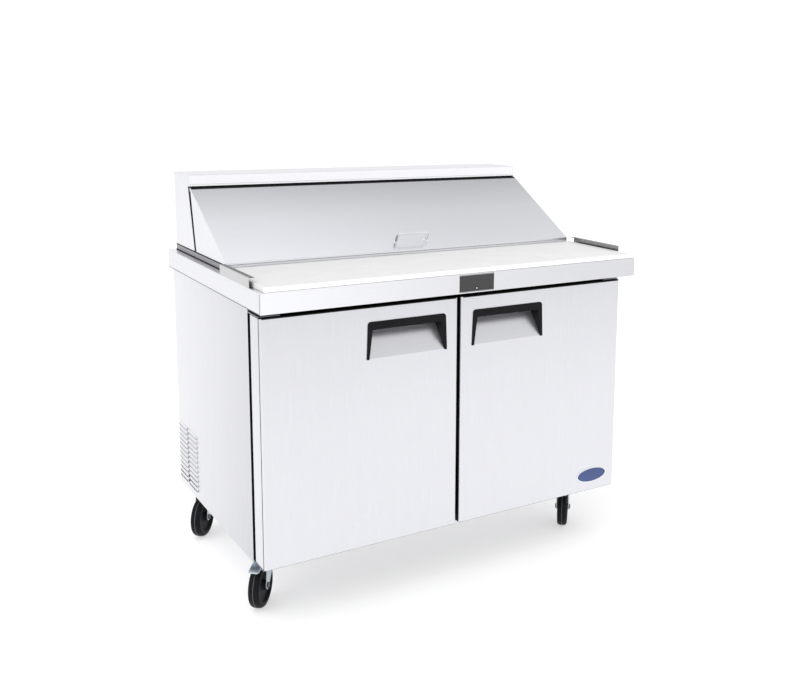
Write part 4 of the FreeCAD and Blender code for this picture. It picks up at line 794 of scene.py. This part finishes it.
def make_hood_lining():
    """The bright sheet over the hood's foam, folded round under its top."""
    low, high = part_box("hood_insulation")
    lining = bmesh.new()
    thick, skin, clear = 0.029, 0.0006, 0.0001
    under, back = high.z - thick, high.y - thick
    outline = [(low.y - skin, high.z - 0.001), (low.y - skin, under - skin), (back - skin, under - skin),
               (back - skin, low.z + skin), (back - clear, low.z + skin), (back - clear, under - clear),
               (low.y - clear, under - clear), (low.y - clear, high.z - 0.001)]
    slab(lining, outline, low.x - skin, high.x + skin, SIDEWAYS)
    make_piece("hood_inner_lining", lining, liner, "cabinet", (), 0.0002)


def make_louvre_shadow_lines():
    """Dark strips below and on each pressed louvre of the left side, and spots between its two columns.

    They lie on the sheet and stand for the shadow lines of the louvres.
    """
    face = -0.597  # the sheet's outer face, in X
    rows, first, pitch, columns, reach = 12, 0.196, 0.0156, (0.402, 0.302), 0.083
    # painted shadow lines of the louvres, on the sheet
    shadow_strips = bmesh.new()
    for back in columns:
        for i in range(rows):
            level = first + i * pitch
            outline = box_outline((back - reach, back - 0.001), (level - 0.0034, level - 0.0004))
            slab(shadow_strips, rounded(outline, 0.0012, 3), face - 0.0007, face + 0.0002, SIDEWAYS)
            outline = box_outline((back - 0.0838, back - 0.0002), (level - 0.0030, level + 0.0004))
            slab(shadow_strips, outline, face - 0.0043, face - 0.0036, SIDEWAYS)
    for i in range(rows):
        level = first + i * pitch
        outline = box_outline((0.3075, 0.3170), (level + 0.0002, level + 0.0062))
        slab(shadow_strips, rounded(outline, 0.0018, 3), face - 0.0009, face + 0.0002, SIDEWAYS)
    make_piece("louvre_shadow_lines", shadow_strips, louvre_shadow_grey, "cabinet", (), 0.0001)


def make_evaporator_cover():
    """A sheet front with a round opening and folded edges, and a wire guard before the fan."""
    low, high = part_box("evaporator_unit")
    fan_low, fan_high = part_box("evaporator_fan")
    middle = (fan_low + fan_high) / 2
    face, radius, count = low.y, 0.072, 96
    near, far = [], []
    for k in range(count):
        angle = 2 * math.pi * k / count
        dx, dz = radius * math.cos(angle), radius * math.sin(angle)
        near.append((middle.x + dx, middle.z + dz))
        reach = min(((high.x if dx > 0 else low.x) - middle.x) / dx if abs(dx) > 1e-9 else 1e9,
                    ((high.z if dz > 0 else low.z) - middle.z) / dz if abs(dz) > 1e-9 else 1e9)
        far.append((middle.x + dx * reach, middle.z + dz * reach))
    cover = bmesh.new()
    loops = []
    for points, proud in ((near, 0.0002), (near, 0.0026), (far, 0.0010), (far, 0.0002)):
        loops.append([cover.verts.new((x, face - proud, z)) for x, z in points])
    for i in range(4):
        j = (i + 1) % 4
        for k in range(count):
            m = (k + 1) % count
            cover.faces.new((loops[i][k], loops[i][m], loops[j][m], loops[j][k]))
    make_piece("evaporator_cover", cover, liner, "cabinet")
    guard = bmesh.new()
    wire, arm = 0.0010, 0.074
    ring_place = Matrix.Translation((middle.x, face - 0.0022, middle.z)) @ to_axis("Y")
    arm_place = Matrix.Translation((middle.x, face - 0.0034, middle.z))
    section = [(wire * math.cos(math.pi * k / 3), wire * math.sin(math.pi * k / 3)) for k in range(6)]
    for ring in (0.014, 0.026, 0.038, 0.050, 0.062, 0.073):
        lathe(guard, [(ring + out, along) for out, along in section], 48, ring_place)
    for k in range(4):
        lathe(guard, [(POINT, -arm), (wire, -arm), (wire, arm), (POINT, arm)], 8,
              arm_place @ Matrix.Rotation(math.pi * k / 4, 4, "Y"))
    make_piece("evaporator_guard", guard, zinc, "cabinet")


def make_fasteners():
    """Pan-head screws and hex bolts, each where the CAD has a plain head."""
    worktop_low, worktop_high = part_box("worktop")
    screws = bmesh.new()
    for sign in (-1, 1):
        edge = worktop_high.x * sign
        for depth in (0.099, 0.124, 0.245):
            head(screws, PAN_HEAD, 0.0015, (edge, worktop_low.y + depth, worktop_high.z - 0.008), "X", sign)
        for inset in (0.018, 0.044):
            head(screws, PAN_HEAD, 0.0042, (sign * (0.596 - inset), worktop_low.y + 0.133, 0.875), "Y", -1)
    back_low, back_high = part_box("back_panel")
    for x in (-0.57, -0.285, 0.0, 0.285, 0.57):
        for z in (back_low.z + 0.014, back_high.z - 0.014):
            head(screws, PAN_HEAD, 0.0040, (x, back_high.y, z), "Y", 1)
    for name in CASTERS:
        swivel = caster_frame(name)[0]
        for x in (-0.039, 0.039):
            for y in (-0.026, 0.026):
                head(screws, HEX_HEAD, 0.0045, (swivel.x + x, swivel.y + y, PLATE_FOOT), "Z", -1, 6)
    make_piece("screws_and_bolts", screws, zinc, "cabinet", ("fasteners",), smooth=25)


def make_handle_feet():
    """A small round flange where each leg of the lid's pull meets the sheet."""
    low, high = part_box("lid_handle")
    root = along_lid(HANDLE_DISTANCE, 0)
    feet = bmesh.new()
    for x in (low.x + 0.0045, high.x - 0.0045):
        turn = Matrix.Translation((x, *root)) @ Matrix.Rotation(math.radians(LID_SLOPE), 4, "X")
        lathe(feet, [(0.0046, 0.0), (0.0085, 0.0), (0.0085, 0.0008), (0.0066, 0.0022), (0.0046, 0.0026)],
              36, turn)
    make_piece("lid_handle_feet", feet, chrome, "lid")


make_casters()
for word, side in (("left", -1), ("right", 1)):
    make_gasket(word)
    make_pull(word)
    make_door_trim(word, side)
make_badge()
make_controller()
make_pans()
make_seals_and_strips()
make_lid_lining()
make_hood_lining()
make_louvre_shadow_lines()
make_evaporator_cover()
make_fasteners()
make_handle_feet()
softened("cutting_board", 0.0016, board_white, 3)
softened("board_brackets", 0.00035, bracket_steel)
softened("hood_top_cover", 0.0004, cover_steel)
softened("worktop", 0.0004, top_steel)
softened("pan_collar", 0.0010, collar_steel)
softened("door_hinge_brackets", 0.0004, hinge_zinc)


# ---------------------------------------------------------------- studio
def make_camera(location, azimuth, elevation, roll, lens, shift):
    a, e, r = (math.radians(angle) for angle in (azimuth, elevation, roll))
    forward = Vector((math.sin(a) * math.cos(e), math.cos(a) * math.cos(e), -math.sin(e)))
    level = Vector((math.cos(a), -math.sin(a), 0))
    upright = level.cross(forward)
    right = level * math.cos(r) + upright * math.sin(r)
    up = upright * math.cos(r) - level * math.sin(r)
    turn = Matrix((right, up, -forward)).transposed()
    data = bpy.data.cameras.new("camera")
    data.lens = lens
    data.shift_x, data.shift_y = shift
    camera = bpy.data.objects.new("camera", data)
    camera.matrix_world = Matrix.Translation(location) @ turn.to_4x4()
    SCENE.collection.objects.link(camera)
    SCENE.camera = camera


def place_light(data, direction, location=(0, 0, 0)):
    """Points a lamp along a direction, and keeps it out of reflections."""
    light = bpy.data.objects.new(data.name, data)
    light.location = location
    light.rotation_euler = Vector(direction).to_track_quat("-Z", "Y").to_euler()
    light.visible_glossy = False
    SCENE.collection.objects.link(light)


def make_light(name, location, target, size, power):
    data = bpy.data.lights.new(name, "AREA")
    data.shape = "RECTANGLE"
    data.size, data.size_y = size
    data.energy = power
    place_light(data, Vector(target) - Vector(location), location)


def make_world():
    """A pale studio: bright at the horizon and overhead, darker between."""
    world = bpy.data.worlds.new("studio")
    world.use_nodes = True
    tree = world.node_tree
    split = add(tree, "ShaderNodeSeparateXYZ")
    tree.links.new(add(tree, "ShaderNodeTexCoord").outputs["Generated"], split.inputs["Vector"])
    levels = ((0.0, 1.06), (0.54, 1.04), (0.70, 0.80), (0.80, 0.72), (0.88, 1.02), (1.0, 1.02))
    stops = [(position, (level, level, level * 1.01)) for position, level in levels]
    background = tree.nodes["Background"]
    tree.links.new(add_ramp(tree, split.outputs["Z"], stops), background.inputs["Color"])
    background.inputs["Strength"].default_value = 1.0
    SCENE.world = world


def make_sun(direction, strength, spread):
    data = bpy.data.lights.new("sun", "SUN")
    data.energy = strength
    data.angle = math.radians(spread)
    place_light(data, direction)


def make_floor():
    """The pale floor. It gives off part of its light, so that its edge doesn't show against the world."""
    shape = bmesh.new()
    bmesh.ops.create_grid(shape, x_segments=8, y_segments=8, size=14)
    mesh = bpy.data.meshes.new("floor")
    shape.to_mesh(mesh)
    shape.free()
    floor = bpy.data.objects.new("floor", mesh)
    SCENE.collection.objects.link(floor)
    white = coated("floor_white", (0.56, 0.56, 0.562), (0.555, 0.555, 0.557), 60, (0.75, 0.85), 0.0,
                   specular=0.0)
    shader = white.node_tree.nodes["Principled BSDF"]
    shader.inputs["Emission Color"].default_value = (1, 1, 1, 1)
    shader.inputs["Emission Strength"].default_value = 0.49
    mesh.materials.append(white)


SCENE.view_settings.view_transform = "Standard"
make_camera((-1.44710, -2.76723, 1.42959), 33.405, 9.356, 0.959, 45.577, (-0.13694, -0.10764))
make_world()
make_floor()
make_sun((0.55, 0.35, -1.0), 1.15, 60)
make_light("key_left", (-3.2, -0.6, 1.5), (-0.4, 0, 0.6), (2.2, 2.2), 7)
